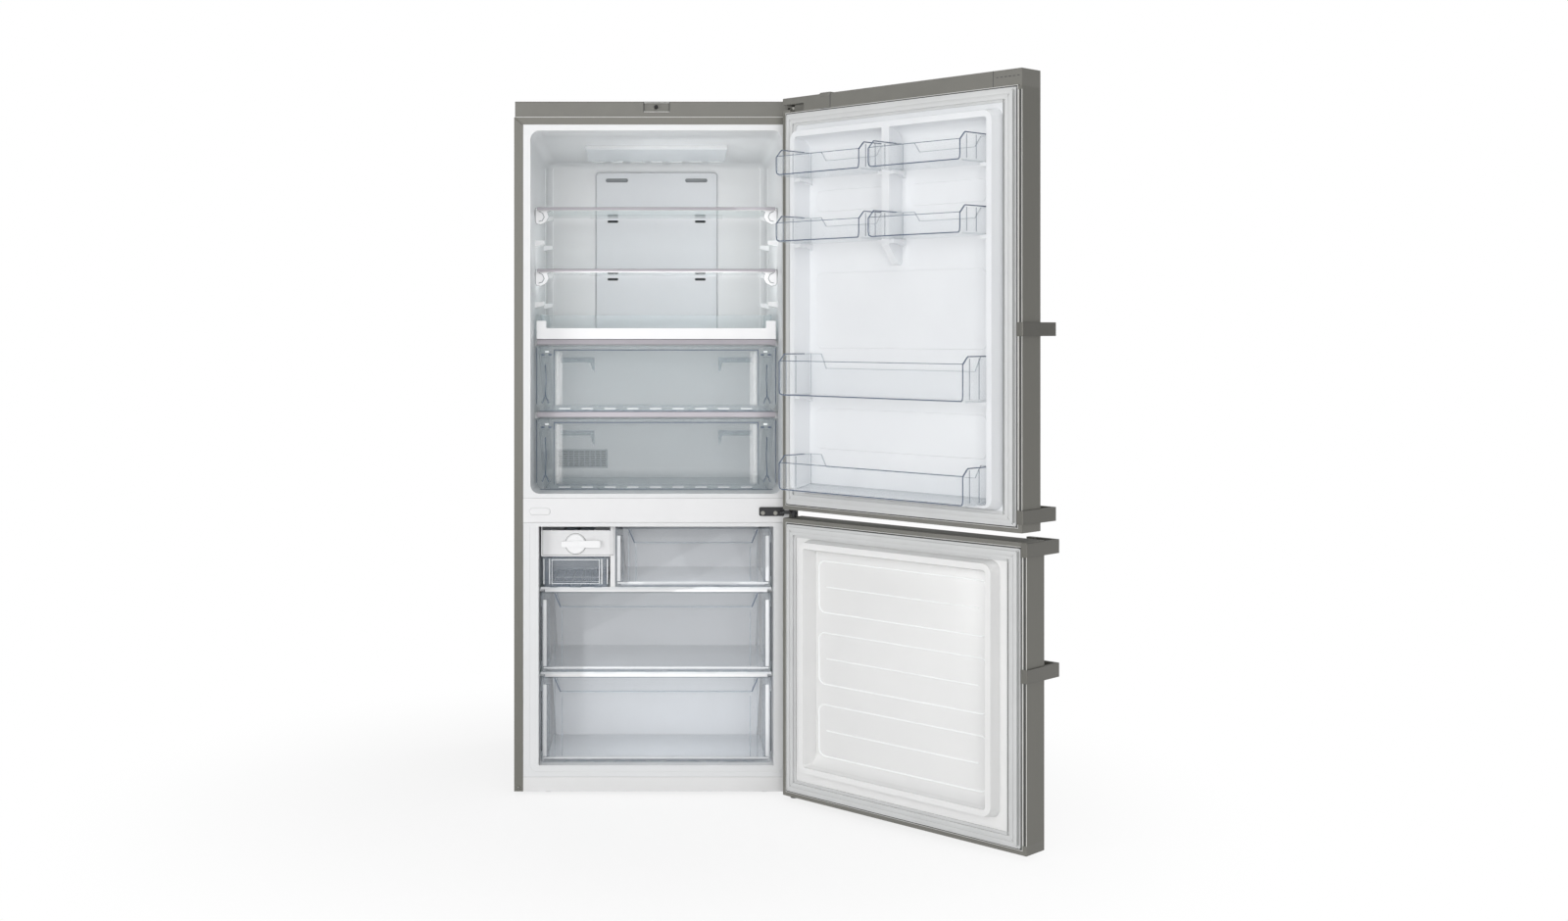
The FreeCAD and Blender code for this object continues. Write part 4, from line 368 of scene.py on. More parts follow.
class Moulding:
    def __init__(self):
        self.made = bmesh.new()

    # a round bead along a path, mitred at its corners
    def bead(self, path, radius, closed=False, sides=6, sharpest=0.5):
        spots = [Vector(spot) for spot in path]
        last = len(spots) - 1
        rings, side = [], None
        for k, spot in enumerate(spots):
            before = spot - spots[k - 1] if closed or k else spots[1] - spot
            after = spots[(k + 1) % len(spots)] - spot if closed or k < last else before
            before, after = before.normalized(), after.normalized()
            along = (before + after).normalized()
            side = along.orthogonal() if side is None else side - along * side.dot(along)
            side.normalize()
            up = along.cross(side)
            bend = (after - before).normalized()
            stretch = 1 / max(sharpest, along.dot(after)) - 1
            ring = []
            for j in range(sides):
                angle = math.tau * j / sides
                reach = (side * math.cos(angle) + up * math.sin(angle)) * radius
                ring.append(self.made.verts.new(spot + reach + bend * reach.dot(bend) * stretch))
            rings.append(ring)
        self.skin(rings, 0 if closed else 1)
        if not closed:
            self.made.faces.new(rings[0])
            self.made.faces.new(reversed(rings[-1]))
        return self

    def skin(self, rings, first):
        for k in range(first, len(rings)):
            for j in range(len(rings[k])):
                self.made.faces.new((rings[k - 1][j - 1], rings[k - 1][j], rings[k][j], rings[k][j - 1]))

    # a block with rounded edges
    def bar(self, low, high, soften):
        size = [b - a for a, b in zip(low, high)]
        middle = [(a + b) / 2 for a, b in zip(low, high)]
        spread = Matrix.Translation(middle) @ Matrix.Diagonal((*size, 1.0))
        block = bmesh.ops.create_cube(self.made, size=1.0, matrix=spread)
        edges = list({edge for corner in block["verts"] for edge in corner.link_edges})
        bmesh.ops.bevel(self.made, geom=edges, offset=soften, segments=2, profile=0.5, affect="EDGES")
        return self

    # a solid between two like outlines
    def prism(self, *outlines):
        near, far = ([self.made.verts.new(spot) for spot in outline] for outline in outlines)
        self.made.faces.new(near)
        self.made.faces.new(reversed(far))
        for k in range(len(near)):
            self.made.faces.new((near[k - 1], near[k], far[k], far[k - 1]))
        return self

    # a flat plate, its outline drawn from the front
    def plate(self, outline, front, back):
        return self.prism(*([(x, y, z) for x, z in outline] for y in (front, back)))

    # a straight run along X of a profile drawn from the side
    def run(self, profile, left, right):
        return self.prism(*([(x, y, z) for y, z in profile] for x in (left, right)))

    # a turned form about a line along Y, its profile as radius and height towards the viewer
    def turned(self, centre, profile, facing, sides=20):
        angles = [math.tau * j / sides for j in range(sides)]
        rings = [[self.made.verts.new((centre[0] + r * math.cos(angle), centre[1] + facing * height,
                                       centre[2] + r * math.sin(angle))) for angle in angles] for r, height in profile]
        self.skin(rings, 1)
        self.made.faces.new(rings[0])
        self.made.faces.new(rings[-1])
        return self

    def place(self, name, finish, body, slot):
        bmesh.ops.recalc_face_normals(self.made, faces=self.made.faces)
        bmesh.ops.transform(self.made, matrix=swingOf(body) @ Matrix.Scale(1 / perMetre, 4), verts=self.made.verts)
        self.made.faces.sort(key=lambda face: face.calc_center_median().dot(sortAxis))
        mesh = bpy.data.meshes.new(name)
        self.made.to_mesh(mesh)
        self.made.free()
        mesh.shade_smooth()
        mesh.set_sharp_from_angle(angle=math.radians(sharpAngle))
        mesh.materials.append(finishes[finish])
        piece = bpy.data.objects.new(name, mesh)
        bpy.context.scene.collection.objects.link(piece)
        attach(piece, body)
        return piece


# thin beads along the sharp edges of a clear moulding, where the plastic is seen edge on
def edgeBeads(node, look):
    source = bmesh.new()
    source.from_mesh(nodes[node].data)
    bmesh.ops.remove_doubles(source, verts=source.verts, dist=look["weld"])
    made = Moulding()
    back = swingOf(bodyOf[node]).inverted()
    for edge in source.edges:
        if len(edge.link_faces) != 2 or edge.calc_length() * perMetre < look["shortest"]:
            continue
        if abs(edge.calc_face_angle(0.0)) < math.radians(look["angle"]):
            continue
        made.bead([back @ corner.co * perMetre for corner in edge.verts], look["radius"], sides=look["sides"])
    source.free()
    made.place(node + "_rim", look["finish"], bodyOf[node], look["slot"])


def rim(radius, finish, slot, shortest=4.0):
    return {"radius": radius, "finish": finish, "slot": slot, "shortest": shortest, "angle": 50.0, "weld": 1e-5,
            "sides": 4}


rimLooks = {
    "crisperClear": rim(0.55, "rimFaint", "clear_plastic"),
    "basketClear": rim(0.5, "rimFaint", "clear_plastic"),
    "drawerFrost": rim(0.6, "rimFaint", "frost_clear"),
    "binBlue": rim(0.9, "rimSlate", "blue_clear"),
    "tubClear": rim(0.22, "rimFaint", "blue_clear", 6.0),
}
for finishName, look in rimLooks.items():
    for name in nodeFinish[finishName]:
        edgeBeads(name, look)
print("rims made")

# baskets: the dark line round the ends and along the bottom front edge, thin ribs on the sides
basketLook = {
    "line": 1.35, "start": 24.0, "bevel": 18.0,
    "corner": ((0.0, 0.0, 14.0), (1.5, 0.6, 6.0), (6.0, 2.9, 2.9)),  # steps inward, back and up
    "hook": ((12.0, 30.0), (16.0, 14.0), (24.0, 0.0)), "hookLine": 1.0,
    "thin": 0.8, "edgeInset": 2.0, "edgeBack": 1.0, "ribs": (24.0, 58.0), "ribEnds": (6.0, 4.0)}


def basketLines(node, look):
    (x0, y0, z0), (x1, y1, z1) = shutBox(node)
    shoulder = z1 - look["bevel"]

    def end(x, inward):
        path = [(x, y0 + look["start"], z1), (x, y1 - look["bevel"], z1), (x, y1, shoulder)]
        return path + [(x + inward * across, y1 - back, z0 + up) for across, back, up in look["corner"]]

    dark, thin = Moulding(), Moulding()
    dark.bead(end(x1, -1) + end(x0, 1)[::-1], look["line"])
    dark.bead([(x0, y0 + out, z1 - drop) for out, drop in look["hook"]], look["hookLine"])
    dark.place(node + "_line", "lineSlate", bodyOf[node], "clear_plastic")
    inset = look["edgeInset"]
    thin.bead([(x, y1 - look["edgeBack"], shoulder + inset) for x in (x0 + inset, x1 - inset)], look["thin"])
    foot, head = look["ribEnds"]
    for x in (x0, x1):
        for step in look["ribs"]:
            thin.bead([(x, y1 - step, z0 + foot), (x, y1 - step, z1 - head)], look["thin"])
    thin.place(node + "_ribs", "rimSlate", bodyOf[node], "clear_plastic")


for name in nodeFinish["basketClear"]:
    basketLines(name, basketLook)

# crispers: dark outlines on the pillars and window, white dashes at the foot as painted highlights, pale bars up the
# sides as painted highlights, brackets behind
crisperLook = {
    "line": 1.1, "thin": 0.88, "proud": 0.6, "soften": 0.5,
    "window": 258.0, "windowTop": ((0.0, 24.0), (1.0, 7.0)), "windowFoot": 14.0, "pillarEnds": (18.0, 1.0),
    "groove": 279.75, "grooveDeep": 0.8, "grooveTop": 44.0, "bow": 2.0, "fork": (8.0, 40.0, 20.0),
    "darkTabs": ((-12.0, 4.0, 21.0, 17.0), (6.0, 4.0, 21.0, 17.0)), "paleTab": (-4.0, 5.0, 14.0, 9.0),
    "glow": ((12.0, 9.0, 5.6), (9.0, 3.5, 7.2)), "highlightEnds": (16.0, 12.0), "highlightThick": 0.8, "highlightSoften": 0.3,
    "sill": (6.0, 1.0), "dashes": 9, "dashRise": 7.0, "dashSpan": (0.22, 0.5),
    "bracket": (169.0, 262.0), "bracketDrop": {"crisper_upper": 31.5, "crisper_lower": 47.7}, "bracketTall": 14.0,
    "tail": 27.0, "tailSteps": ((0.0, 1.0), (6.0, 0.7), (11.0, 0.0)), "bracketGap": (6.0, 5.2)}


def crisperDetail(node, look):
    (_, front, low), (half, back, high) = shutBox(node)
    wide, groove, line, thin = (look[key] for key in ("window", "groove", "line", "thin"))
    dark, soft, pale, glow, shade = (Moulding() for _ in range(5))

    def tab(made, way, step, broad, top, foot):
        x, proud = way * (groove + step), look["proud"]
        made.bar((x - broad, front - proud, high - top), (x + broad, front + proud, high - foot), look["soften"])

    head = [(wide - inset, front, high - drop) for inset, drop in look["windowTop"]]
    dark.bead([(-x, y, z) for x, y, z in head] + head[::-1], line)
    deep, (spread, fork, toe) = front + look["grooveDeep"], look["fork"]
    foot, top = look["pillarEnds"]
    start, stop = look["highlightEnds"]
    for way in (-1, 1):
        dark.bead([(way * half, front, low + foot), (way * half, front, high - top)], thin)
        dark.bead([(way * groove, deep, high - look["grooveTop"]),
                   (way * (groove - look["bow"]), deep, (low + high) / 2),
                   (way * groove, deep, low + fork), (way * (groove + spread), deep, low + toe)], line)
        dark.bead([(way * groove, deep, low + fork), (way * (groove - spread), deep, low + toe)], line)
        for spot in look["darkTabs"]:
            tab(dark, way, *spot)
        soft.bead([(way * wide, front, low + look["windowFoot"]), (way * wide, *head[0][1:])], thin)
        tab(pale, way, *look["paleTab"])
        # pale see-through bars inside each side: painted highlights on the side walls
        for step, broad, gap in look["glow"]:
            x = way * (wide - step)
            glow.bar((x - broad, front + gap, low + start),
                     (x + broad, front + gap + look["highlightThick"], high - stop), look["highlightSoften"])
    inset, rise = look["sill"]
    soft.bead([(inset - half, front, low + rise), (half - inset, front, low + rise)], thin)
    # white dashes along the foot: painted highlights on its scallops
    pitch, (lead, share) = 2 * wide / look["dashes"], look["dashSpan"]
    for k in range(look["dashes"]):
        first = k * pitch - wide + pitch * lead
        pale.bead([(x, front, low + look["dashRise"]) for x in (first, first + pitch * share)], line)
    near, far = look["bracket"]
    top = high - look["bracketDrop"][node]
    foot = top - look["bracketTall"]
    tail = [(near + out, foot - look["tail"] * share) for out, share in look["tailSteps"]]
    outline = [(far, top), (near, top)] + tail + [(far, foot)]
    for way in (1, -1):
        shade.plate([(way * x, z) for x, z in outline], *(back - gap for gap in look["bracketGap"]))
    for made, label, finishName in ((dark, "outline", "lineSlate"), (soft, "frame", "rimSlate"),
                                    (pale, "dashes", "lineWhite"), (glow, "sides", "glowClear"),
                                    (shade, "brackets", "shadeClear")):
        made.place(node + "_" + label, finishName, bodyOf[node], "clear_plastic")


for name in nodeFinish["crisperClear"]:
    crisperDetail(name, crisperLook)

# freezer drawers: white side bars and foot, slanted grip ends, dark strips in the side gaps as painted shadow, pale
# floor and back
drawerLook = {
    "line": 1.1, "thin": 0.8, "grip": (32.0, 46.0, 34.0), "gripTop": 0.5, "pillar": (50.0, 14.0, 44.0),
    "bar": {"across": (3.0, 12.0), "deep": (-0.6, 2.8), "ends": (14.0, 16.0), "soften": 1.2},
    "gapShade": {"across": (-0.4, -2.4), "deep": (4.0, 9.0), "ends": (26.0, 34.0), "soften": 0.4}, "gapShadeFrom": 200.0,
    "foot": {"inset": 4.0, "deep": (-0.8, 2.0), "rise": (8.0, 12.0), "soften": 0.9},
    "heel": {"inset": 30.0, "deep": (12.0, 17.0), "rise": (4.0, 12.0), "soften": 1.8},
    "slope": 15.0, "backFoot": 4.0, "backHead": 6.0, "backEnds": 3.0, "backGap": (4.4, 3.6),
    "floor": {"inset": 13.0, "deep": (18.0, 8.0), "rise": (2.8, 3.8), "soften": 0.3},
    "dashes": 11, "dash": 0.9, "dashInset": 30.0, "dashRise": 3.0, "dashSpan": (0.2, 0.6)}


def drawerDetail(node, look):
    (x0, front, low), (x1, back, high) = shutBox(node)
    white, dark, soft, gap, wall, floor = (Moulding() for _ in range(6))

    def upright(made, x, way, spot):
        ends = sorted(x + way * step for step in spot["across"])
        made.bar((ends[0], front + spot["deep"][0], low + spot["ends"][0]),
                 (ends[1], front + spot["deep"][1], high - spot["ends"][1]), spot["soften"])

    top, foot, deep = look["grip"]
    inset, rise, drop = look["pillar"]
    for x, way in ((x0, 1), (x1, -1)):
        upright(white, x, way, look["bar"])
        dark.bead([(x + way * top, front, high - look["gripTop"]), (x + way * foot, front, high - deep)], look["line"])
        soft.bead([(x + way * inset, front, low + rise), (x + way * inset, front, high - drop)], look["thin"])
        # dark strips on the drawer's outer sides: painted shadow of the gap to the liner
        if abs(x) > look["gapShadeFrom"]:
            upright(gap, x, way, look["gapShade"])
    for spot in (look["foot"], look["heel"]):
        white.bar((x0 + spot["inset"], front + spot["deep"][0], low + spot["rise"][0]),
                  (x1 - spot["inset"], front + spot["deep"][1], low + spot["rise"][1]), spot["soften"])
    soft.bead([(x0 + foot, front, high - deep), (x1 - foot, front, high - deep)], look["thin"])
    slope, ends = look["slope"], look["backEnds"]
    foot, head = slope + look["backFoot"], look["backHead"]
    outline = [(x0 + foot, low + ends), (x1 - foot, low + ends), (x1 - head, high - ends), (x0 + head, high - ends)]
    wall.plate(outline, *(back - slope - step for step in look["backGap"]))
    spot = look["floor"]
    floor.bar((x0 + spot["inset"], front + spot["deep"][0], low + spot["rise"][0]),
              (x1 - spot["inset"], back - slope - spot["deep"][1], low + spot["rise"][1]), spot["soften"])
    inset, (lead, share) = look["dashInset"], look["dashSpan"]
    pitch = (x1 - x0 - 2 * inset) / look["dashes"]
    for k in range(look["dashes"]):
        first = x0 + inset + (k + lead) * pitch
        soft.bead([(x, front, low + look["dashRise"]) for x in (first, first + pitch * share)], look["dash"])
    for made, label, finishName, slot in ((wall, "back", "frostBack", "frost_clear"),
                                          (floor, "floor", "frostBack", "frost_clear"),
                                          (white, "bars", "edgeWhite", "frost_clear"),
                                          (dark, "grip", "lineSlate", "frost_clear"),
                                          (soft, "lines", "rimFaint", "frost_clear"),
                                          (gap, "gap_shade", "seamDark", "grey_plastic")):
        made.place(node + "_" + label, finishName, bodyOf[node], slot)


for name in nodeFinish["drawerFrost"]:
    drawerDetail(name, drawerLook)

# freezer shelves: a white edging along each front and a lip under it, as half width, front, back, foot and top
edgingLook = {"shelfTops": (507.0, 296.0), "edge": (287.0, 37.0, 42.0, 6.4, 0.2), "soften": 1.0,
              "lip": (277.0, 38.5, 43.0, 13.2, 5.5)}
edging, lips = Moulding(), Moulding()
for level in edgingLook["shelfTops"]:
    for made, key in ((edging, "edge"), (lips, "lip")):
        wide, front, back, foot, top = edgingLook[key]
        made.bar((-wide, front, level - foot), (wide, back, level - top), edgingLook["soften"])
edging.place("freezer_shelf_edges", "edgeWhite", "cabinet", "white_plastic")
lips.place("freezer_shelf_lips", "panelWhite", "cabinet", "white_plastic")
print("bins dressed")

# ice bin: bright pillars and window frame, ribs on its floor
binLook = {"pillars": (5.0, 19.0), "pillarEnds": (7.0, 3.0), "pillar": 1.3, "frame": (25.0, 9.0, 5.0), "line": 1.0,
           "floor": 3.0, "ribs": 5, "ribEnds": (10.0, 12.0), "rows": (70.0, 150.0)}
(x0, front, low), (x1, back, high) = shutBox("ice_bin")
pale, ribs = Moulding(), Moulding()
foot, head = binLook["pillarEnds"]
for x, way in ((x0, 1), (x1, -1)):
    for step in binLook["pillars"]:
        pale.bead([(x + way * step, front, low + foot), (x + way * step, front, high - head)], binLook["pillar"])
inset, foot, head = binLook["frame"]
left, right = x0 + inset, x1 - inset
pale.bead([(left, front, low + foot), (right, front, low + foot), (right, front, high - head),
           (left, front, high - head)], binLook["line"], True)
pitch, floor = (right - left) / binLook["ribs"], low + binLook["floor"]
near, far = binLook["ribEnds"]
for k in range(binLook["ribs"] + 1):
    x = left + k * pitch
    ribs.bead([(x, front + near, floor), (x, back - far, floor)], binLook["line"])
for row in binLook["rows"]:
    ribs.bead([(left, front + row, floor), (right, front + row, floor)], binLook["line"])
pale.place("ice_bin_frame", "lineWhite", bodyOf["ice_bin"], "blue_clear")
ribs.place("ice_bin_ribs", "edgeLight", bodyOf["ice_bin"], "blue_clear")

# ice maker: a dark strip up to the ceiling as painted shade in the gap above it, a ring round the knob and a line round
# its face
iceLook = {"centre": (-200.0, 614.5), "ring": 26.0, "ringLine": 0.6, "ringSteps": 40, "inset": 4.0, "line": 0.5,
           "overBin": 3.0, "strip": (1.0, 4.0, 8.0), "stripSoften": 0.4, "underCover": 10.0}
binTop = high
(x0, y0, z0), (x1, y1, z1) = shutBox("ice_maker_housing")
ceiling = shutBox("mullion_cover")[0][2] - iceLook["underCover"]
inset, near, far = iceLook["strip"]
Moulding().bar((x0 + inset, y0 + near, z1 - inset), (x1 - inset, y0 + far, ceiling), iceLook["stripSoften"]).place(
    "ice_maker_gap_shade", "slotDark", "cabinet", "black_plastic")
marks, (x, z) = Moulding(), iceLook["centre"]
marks.bead(arc((x, y0, z), iceLook["ring"], 0, 4, iceLook["ringSteps"])[:-1], iceLook["ringLine"], True)
inset = iceLook["inset"]
left, right, foot, top = x0 + inset, x1 - inset, binTop + iceLook["overBin"] + inset, z1 - inset
marks.bead([(left, y0, foot), (right, y0, foot), (right, y0, top), (left, y0, top)], iceLook["line"], True)
marks.place("ice_maker_marks", "seamGrey", "cabinet", "white_plastic")

# doors: the dark seam outside the gasket, a bright line round the steel's edge as a painted highlight, lines of painted
# shadow and highlight down the free side, and its mitred corners
doorLook = {
    "face": -7.7, "loops": (("seam", "seamDark", 1.2, 0.9), ("edge", "edgeLight", 3.6, 0.7)),
    "stripes": ((32.5, -5.5, 1.3, "seamGrey"), (3.2, -1.6, 1.2, "seamGrey"), (-5.0, -7.4, 1.5, "edgeLight"),
                (-10.0, -7.6, 1.5, "seamDark"), (-13.6, -8.4, 0.7, "edgeLight")), "stripeEnds": (8.0, 6.0),
    "mitre": (1.0, 29.0), "mitreFace": -0.7, "mitreLine": 0.35}
for body in doorSwing:
    (x0, y0, z0), (x1, y1, z1) = shutBox(body + "_gasket")
    # a dark seam line round the gasket, and a pale line round the steel's edge standing for a painted highlight
    for label, finishName, out, thick in doorLook["loops"]:
        loop = [(x0 - out, z0 - out), (x1 + out, z0 - out), (x1 + out, z1 + out), (x0 - out, z1 + out)]
        Moulding().bead([(x, doorLook["face"], z) for x, z in loop], thick, True).place(
            body + "_" + label, finishName, body, "grey_plastic")
    foot, head = doorLook["stripeEnds"]
    # lines down the free side: a grey painted shadow inside the gasket, a darker line on its outer part, and pale
    # painted highlights with a dark line of painted shade along the steel's rolled edge
    for k, (inset, face, thick, finishName) in enumerate(doorLook["stripes"]):
        Moulding().bead([(x0 + inset, face, z0 + foot), (x0 + inset, face, z1 - head)], thick).place(
            body + "_stripe%d" % k, finishName, body, "grey_plastic")
    mitres = Moulding()
    for x, way in ((x0, 1), (x1, -1)):
        for z, rise in ((z0, 1), (z1, -1)):
            mitres.bead([(x + way * step, doorLook["mitreFace"], z + rise * step) for step in doorLook["mitre"]],
                        doorLook["mitreLine"])
    mitres.place(body + "_mitres", "seamGrey", body, "gasket")

# top cap of the upper door: the raised clip beside the hinge, the seams of its cover, and a dark bar in the hinge
# slot's mouth as painted shade
capLook = {
    "clip": (197.0, 230.0), "clipDeep": (-77.4, -7.4), "clipDrop": 8.0, "rise": 2.6, "clipSoften": 1.6,
    "face": -7.8, "seamFoot": 1.0, "clipSeam": 0.7, "freeEnd": -274.6, "freeSeam": 0.5,
    "mouth": {"inset": 2.0, "deep": (-8.6, -7.3), "rise": (-1.0, 3.0), "soften": 0.5},
    "dashes": 6, "dashFirst": 8.0, "dashPitch": 11.0, "dashSoften": 0.2,
    "dashRows": ((6.0, (-8.2, -7.6), (22.0, 23.4)), (7.0, (-8.2, -7.5), (-0.4, 1.6)))}
capTop = shutBox("fridge_door_caps")[1][2]
capFoot = shutBox("fridge_door_skin")[1][2]
(left, right), (near, far) = capLook["clip"], capLook["clipDeep"]
Moulding().bar((left, near, capTop - capLook["clipDrop"]), (right, far, capTop + capLook["rise"]),
               capLook["clipSoften"]).place("fridge_door_clip", "capGrey", "fridge_door", "grey_plastic")
seamsAndShade, spot = Moulding(), capLook["mouth"]
for x, thick in ((left, capLook["clipSeam"]), (capLook["freeEnd"], capLook["freeSeam"])):
    seamsAndShade.bead([(x, capLook["face"], capFoot + capLook["seamFoot"]), (x, capLook["face"], capTop)], thick)
# dark bar across the hinge slot's mouth: painted shade in the opening
seamsAndShade.bar((left + spot["inset"], spot["deep"][0], capFoot + spot["rise"][0]),
          (right - spot["inset"], spot["deep"][1], capFoot + spot["rise"][1]), spot["soften"])
for k in range(capLook["dashes"]):
    dash = capLook["freeEnd"] - capLook["dashFirst"] - k * capLook["dashPitch"]
    for wide, (near, far), (foot, top) in capLook["dashRows"]:
        seamsAndShade.bar((dash - wide, near, capFoot + foot), (dash, far, capFoot + top), capLook["dashSoften"])
seamsAndShade.place("fridge_door_seams_and_slot_shade", "seamDark", "fridge_door", "grey_plastic")

# coves at the top of the two pressed bays of the upper door and along the foot of the lower one
coveLook = {
    "fridge_door": {"finish": "doorWhite", "front": 24.0, "deep": 44.5, "end": 1577.0, "tall": 31.5,
                    "spans": ((-276.0, -10.5), (10.5, 276.0)), "steps": 12},
    "freezer_door": {"finish": "panWhite", "front": 19.4, "deep": 37.6, "end": 128.0, "tall": -27.5,
                     "spans": ((-256.0, 256.0),), "steps": 12}}
for body, look in coveLook.items():
    front, deep, end, tall = (look[key] for key in ("front", "deep", "end", "tall"))
    turns = [k * math.pi / 2 / look["steps"] for k in range(look["steps"] + 1)]
    profile = [(front - deep * math.sin(t), end + tall * math.cos(t)) for t in turns] + [(front - deep, end + tall)]
    coves = Moulding()
    for left, right in look["spans"]:
        coves.run(profile, left, right)
    coves.place(body + "_coves", look["finish"], body, "white_liner")

# pan of the lower door: its face, and white beads round three rounded panels and along the bar in the middle of each,
# lighter than the pan as painted highlights on the pressed lines
panLook = {"low": (-253.4, -20.6, 108.2), "high": (253.4, -18.1, 614.8), "soften": 0.3,
           "centres": (188.5, 360.5, 532.0), "wide": 243.0, "half": 61.5, "turn": 18.0, "steps": 5, "bar": 219.0,
           "line": 1.9}
Moulding().bar(panLook["low"], panLook["high"], panLook["soften"]).place(
    "freezer_door_pan", "panWhite", "freezer_door", "white_liner")
face, turn, lines = panLook["high"][1], panLook["turn"], Moulding()
for middle in panLook["centres"]:
    loop = []
    for corner, (across, up) in enumerate(((1, 1), (-1, 1), (-1, -1), (1, -1))):
        centre = (across * (panLook["wide"] - turn), face, middle + up * (panLook["half"] - turn))
        loop += arc(centre, turn, corner, corner + 1, panLook["steps"])
    lines.bead(loop, panLook["line"], True)
    lines.bead([(-panLook["bar"], face, middle), (panLook["bar"], face, middle)], panLook["line"])
lines.place("freezer_door_highlight_lines", "lineWhite", "freezer_door", "white_liner")
print("doors dressed")

# cabinet front: bright line below the top cover as a painted highlight, switch frame, mitred rails, lip round the
# freezer opening
frontLook = {
    "trim": (2.0, 1.0, 0.9), "switch": (-30.0, 32.7, 1684.3, 1708.5), "switchTop": 2.0, "switchLine": 0.8,
    "foldLine": 0.7, "mitre": ((349.0, 1669.0), (332.0, 1652.0)), "mitreLine": 0.35, "railFace": 0.0,
    "lip": (312.0, 56.0, 660.0, 18.0), "lipFace": 1.1, "lipLine": 1.2, "lipSteps": 6}
(x0, y0, z0), (x1, y1, z1) = shutBox("top_cover")
trim, folds = Moulding(), Moulding()
face, (inset, rise, thick) = frontLook["railFace"], frontLook["trim"]
# bright line along the top of the rail under the cover: painted highlight
trim.bead([(x0 + inset, face, z0 + rise), (x1 - inset, face, z0 + rise)], thick)
left, right, foot, top = frontLook["switch"]
for z in (foot, top - frontLook["switchTop"]):
    trim.bead([(left, y0, z), (right, y0, z)], frontLook["switchLine"])
trim.place("top_cover_bright_lines", "edgeLight", "cabinet", "trim_grey")
for x in (left, right):
    folds.bead([(x, y0, foot), (x, y0, top)], frontLook["foldLine"])
for way in (-1, 1):
    folds.bead([(way * x, face, z) for x, z in frontLook["mitre"]], frontLook["mitreLine"])
folds.place("front_folds", "seamDark", "cabinet", "trim_grey")
(wide, foot, top, turn), face = frontLook["lip"], frontLook["lipFace"]
lip = [(-wide, face, top)]
for way, first in ((-1, 2), (1, 3)):
    lip += arc((way * (wide - turn), face, foot + turn), turn, first, first + 1, frontLook["lipSteps"])
lip.append((wide, face, top))
Moulding().bead(lip, frontLook["lipLine"]).place("freezer_lip", "linerWhite", "cabinet", "white_liner")

# crosshead screws on the front rails and round the rear panel, each cross drawn as dark bars, painted shade of its
# recess
screwLook = {"head": ((4.4, -0.4), (4.4, 0.9), (3.6, 1.9), (1.8, 2.4), (0.2, 2.5)), "slot": (2.2, 0.5),
             "slotDeep": (2.0, 2.6), "soften": 0.1, "rail": (339.4, 0.0, 17.0), "rearSide": 9.0, "rearEnd": 60.0}


def screwHeads(name, spots, facing, look):
    heads, slots = Moulding(), Moulding()
    for x, y, z in spots:
        heads.turned((x, y, z), look["head"], facing)
        near, far = sorted(y + facing * deep for deep in look["slotDeep"])
        # the cross: two dark bars, painted shade in the recess
        for dx, dz in (look["slot"], look["slot"][::-1]):
            slots.bar((x - dx, near, z - dz), (x + dx, far, z + dz), look["soften"])
    heads.place(name, "hingeSteel", "cabinet", "zinc_steel")
    slots.place(name + "_slots", "seamDark", "cabinet", "dark_steel")


x, y, z = screwLook["rail"]
screwHeads("rail_screws", [(way * x, y, z) for way in (-1, 1)], -1.0, screwLook)
(x0, y0, z0), (x1, y1, z1) = shutBox("rear_panel")
inset, end = screwLook["rearSide"], screwLook["rearEnd"]
rearSpots = [(x, y1, z) for x in (x0 + inset, x1 - inset) for z in (z0 + end, (z0 + z1) / 2, z1 - end)]
screwHeads("rear_screws", rearSpots, 1.0, screwLook)

# air duct: plates behind its vents and slots, painted shade for their depth, as places and half sizes
ductLook = {"vents": ("slotGrey", ((110.0, 1560.0),), (32.0, 6.5)), "gap": (2.6, 1.6), "soften": 0.2,
            "slots": ("slotDark", ((121.0, 1463.0), (121.0, 1446.0), (121.0, 1303.0), (121.0, 1286.0)), (16.0, 4.5))}
near, far = (shutBox("airflow_duct")[1][1] - gap for gap in ductLook["gap"])
for label in ("vents", "slots"):
    backs, (finishName, spots, (wide, tall)) = Moulding(), ductLook[label]
    for x, z in spots:
        for way in (-1, 1):
            backs.bar((way * x - wide, near, z - tall), (way * x + wide, far, z + tall), ductLook["soften"])
    backs.place("duct_" + label, finishName, "cabinet", "duct_plastic")

# return-air grille: the lattice stands for its node, with the row count of the photograph
grilleLook = {"columns": 9, "rows": 7, "border": 4.0, "post": 1.3, "rail": 1.1, "soften": 0.4, "railEnd": 0.5,
              "railDeep": (0.3, 0.2), "railRim": 0.3, "back": (3.0, 1.4, 0.4), "backSoften": 0.1}
(x0, y0, z0), (x1, y1, z1) = shutBox("return_grille")
border, columns, rows, lattice = grilleLook["border"], grilleLook["columns"], grilleLook["rows"], Moulding()
for k in range(columns + 1):
    x, half = x0 + border + k * (x1 - x0 - 2 * border) / columns, grilleLook["post"]
    lattice.bar((x0 if k == 0 else x - half, y0, z0), (x1 if k == columns else x + half, y1, z1), grilleLook["soften"])
(near, far), end, edge = grilleLook["railDeep"], grilleLook["railEnd"], grilleLook["railRim"]
for k in range(rows + 1):
    z, half = z0 + border + k * (z1 - z0 - 2 * border) / rows, grilleLook["rail"]
    lattice.bar((x0 + end, y0 + near, z0 + edge if k == 0 else z - half),
                (x1 - end, y1 - far, z1 - edge if k == rows else z + half), grilleLook["soften"])
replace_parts(lattice.place("grille_lattice", "grilleGrey", "cabinet", "duct_plastic"), "return_grille")
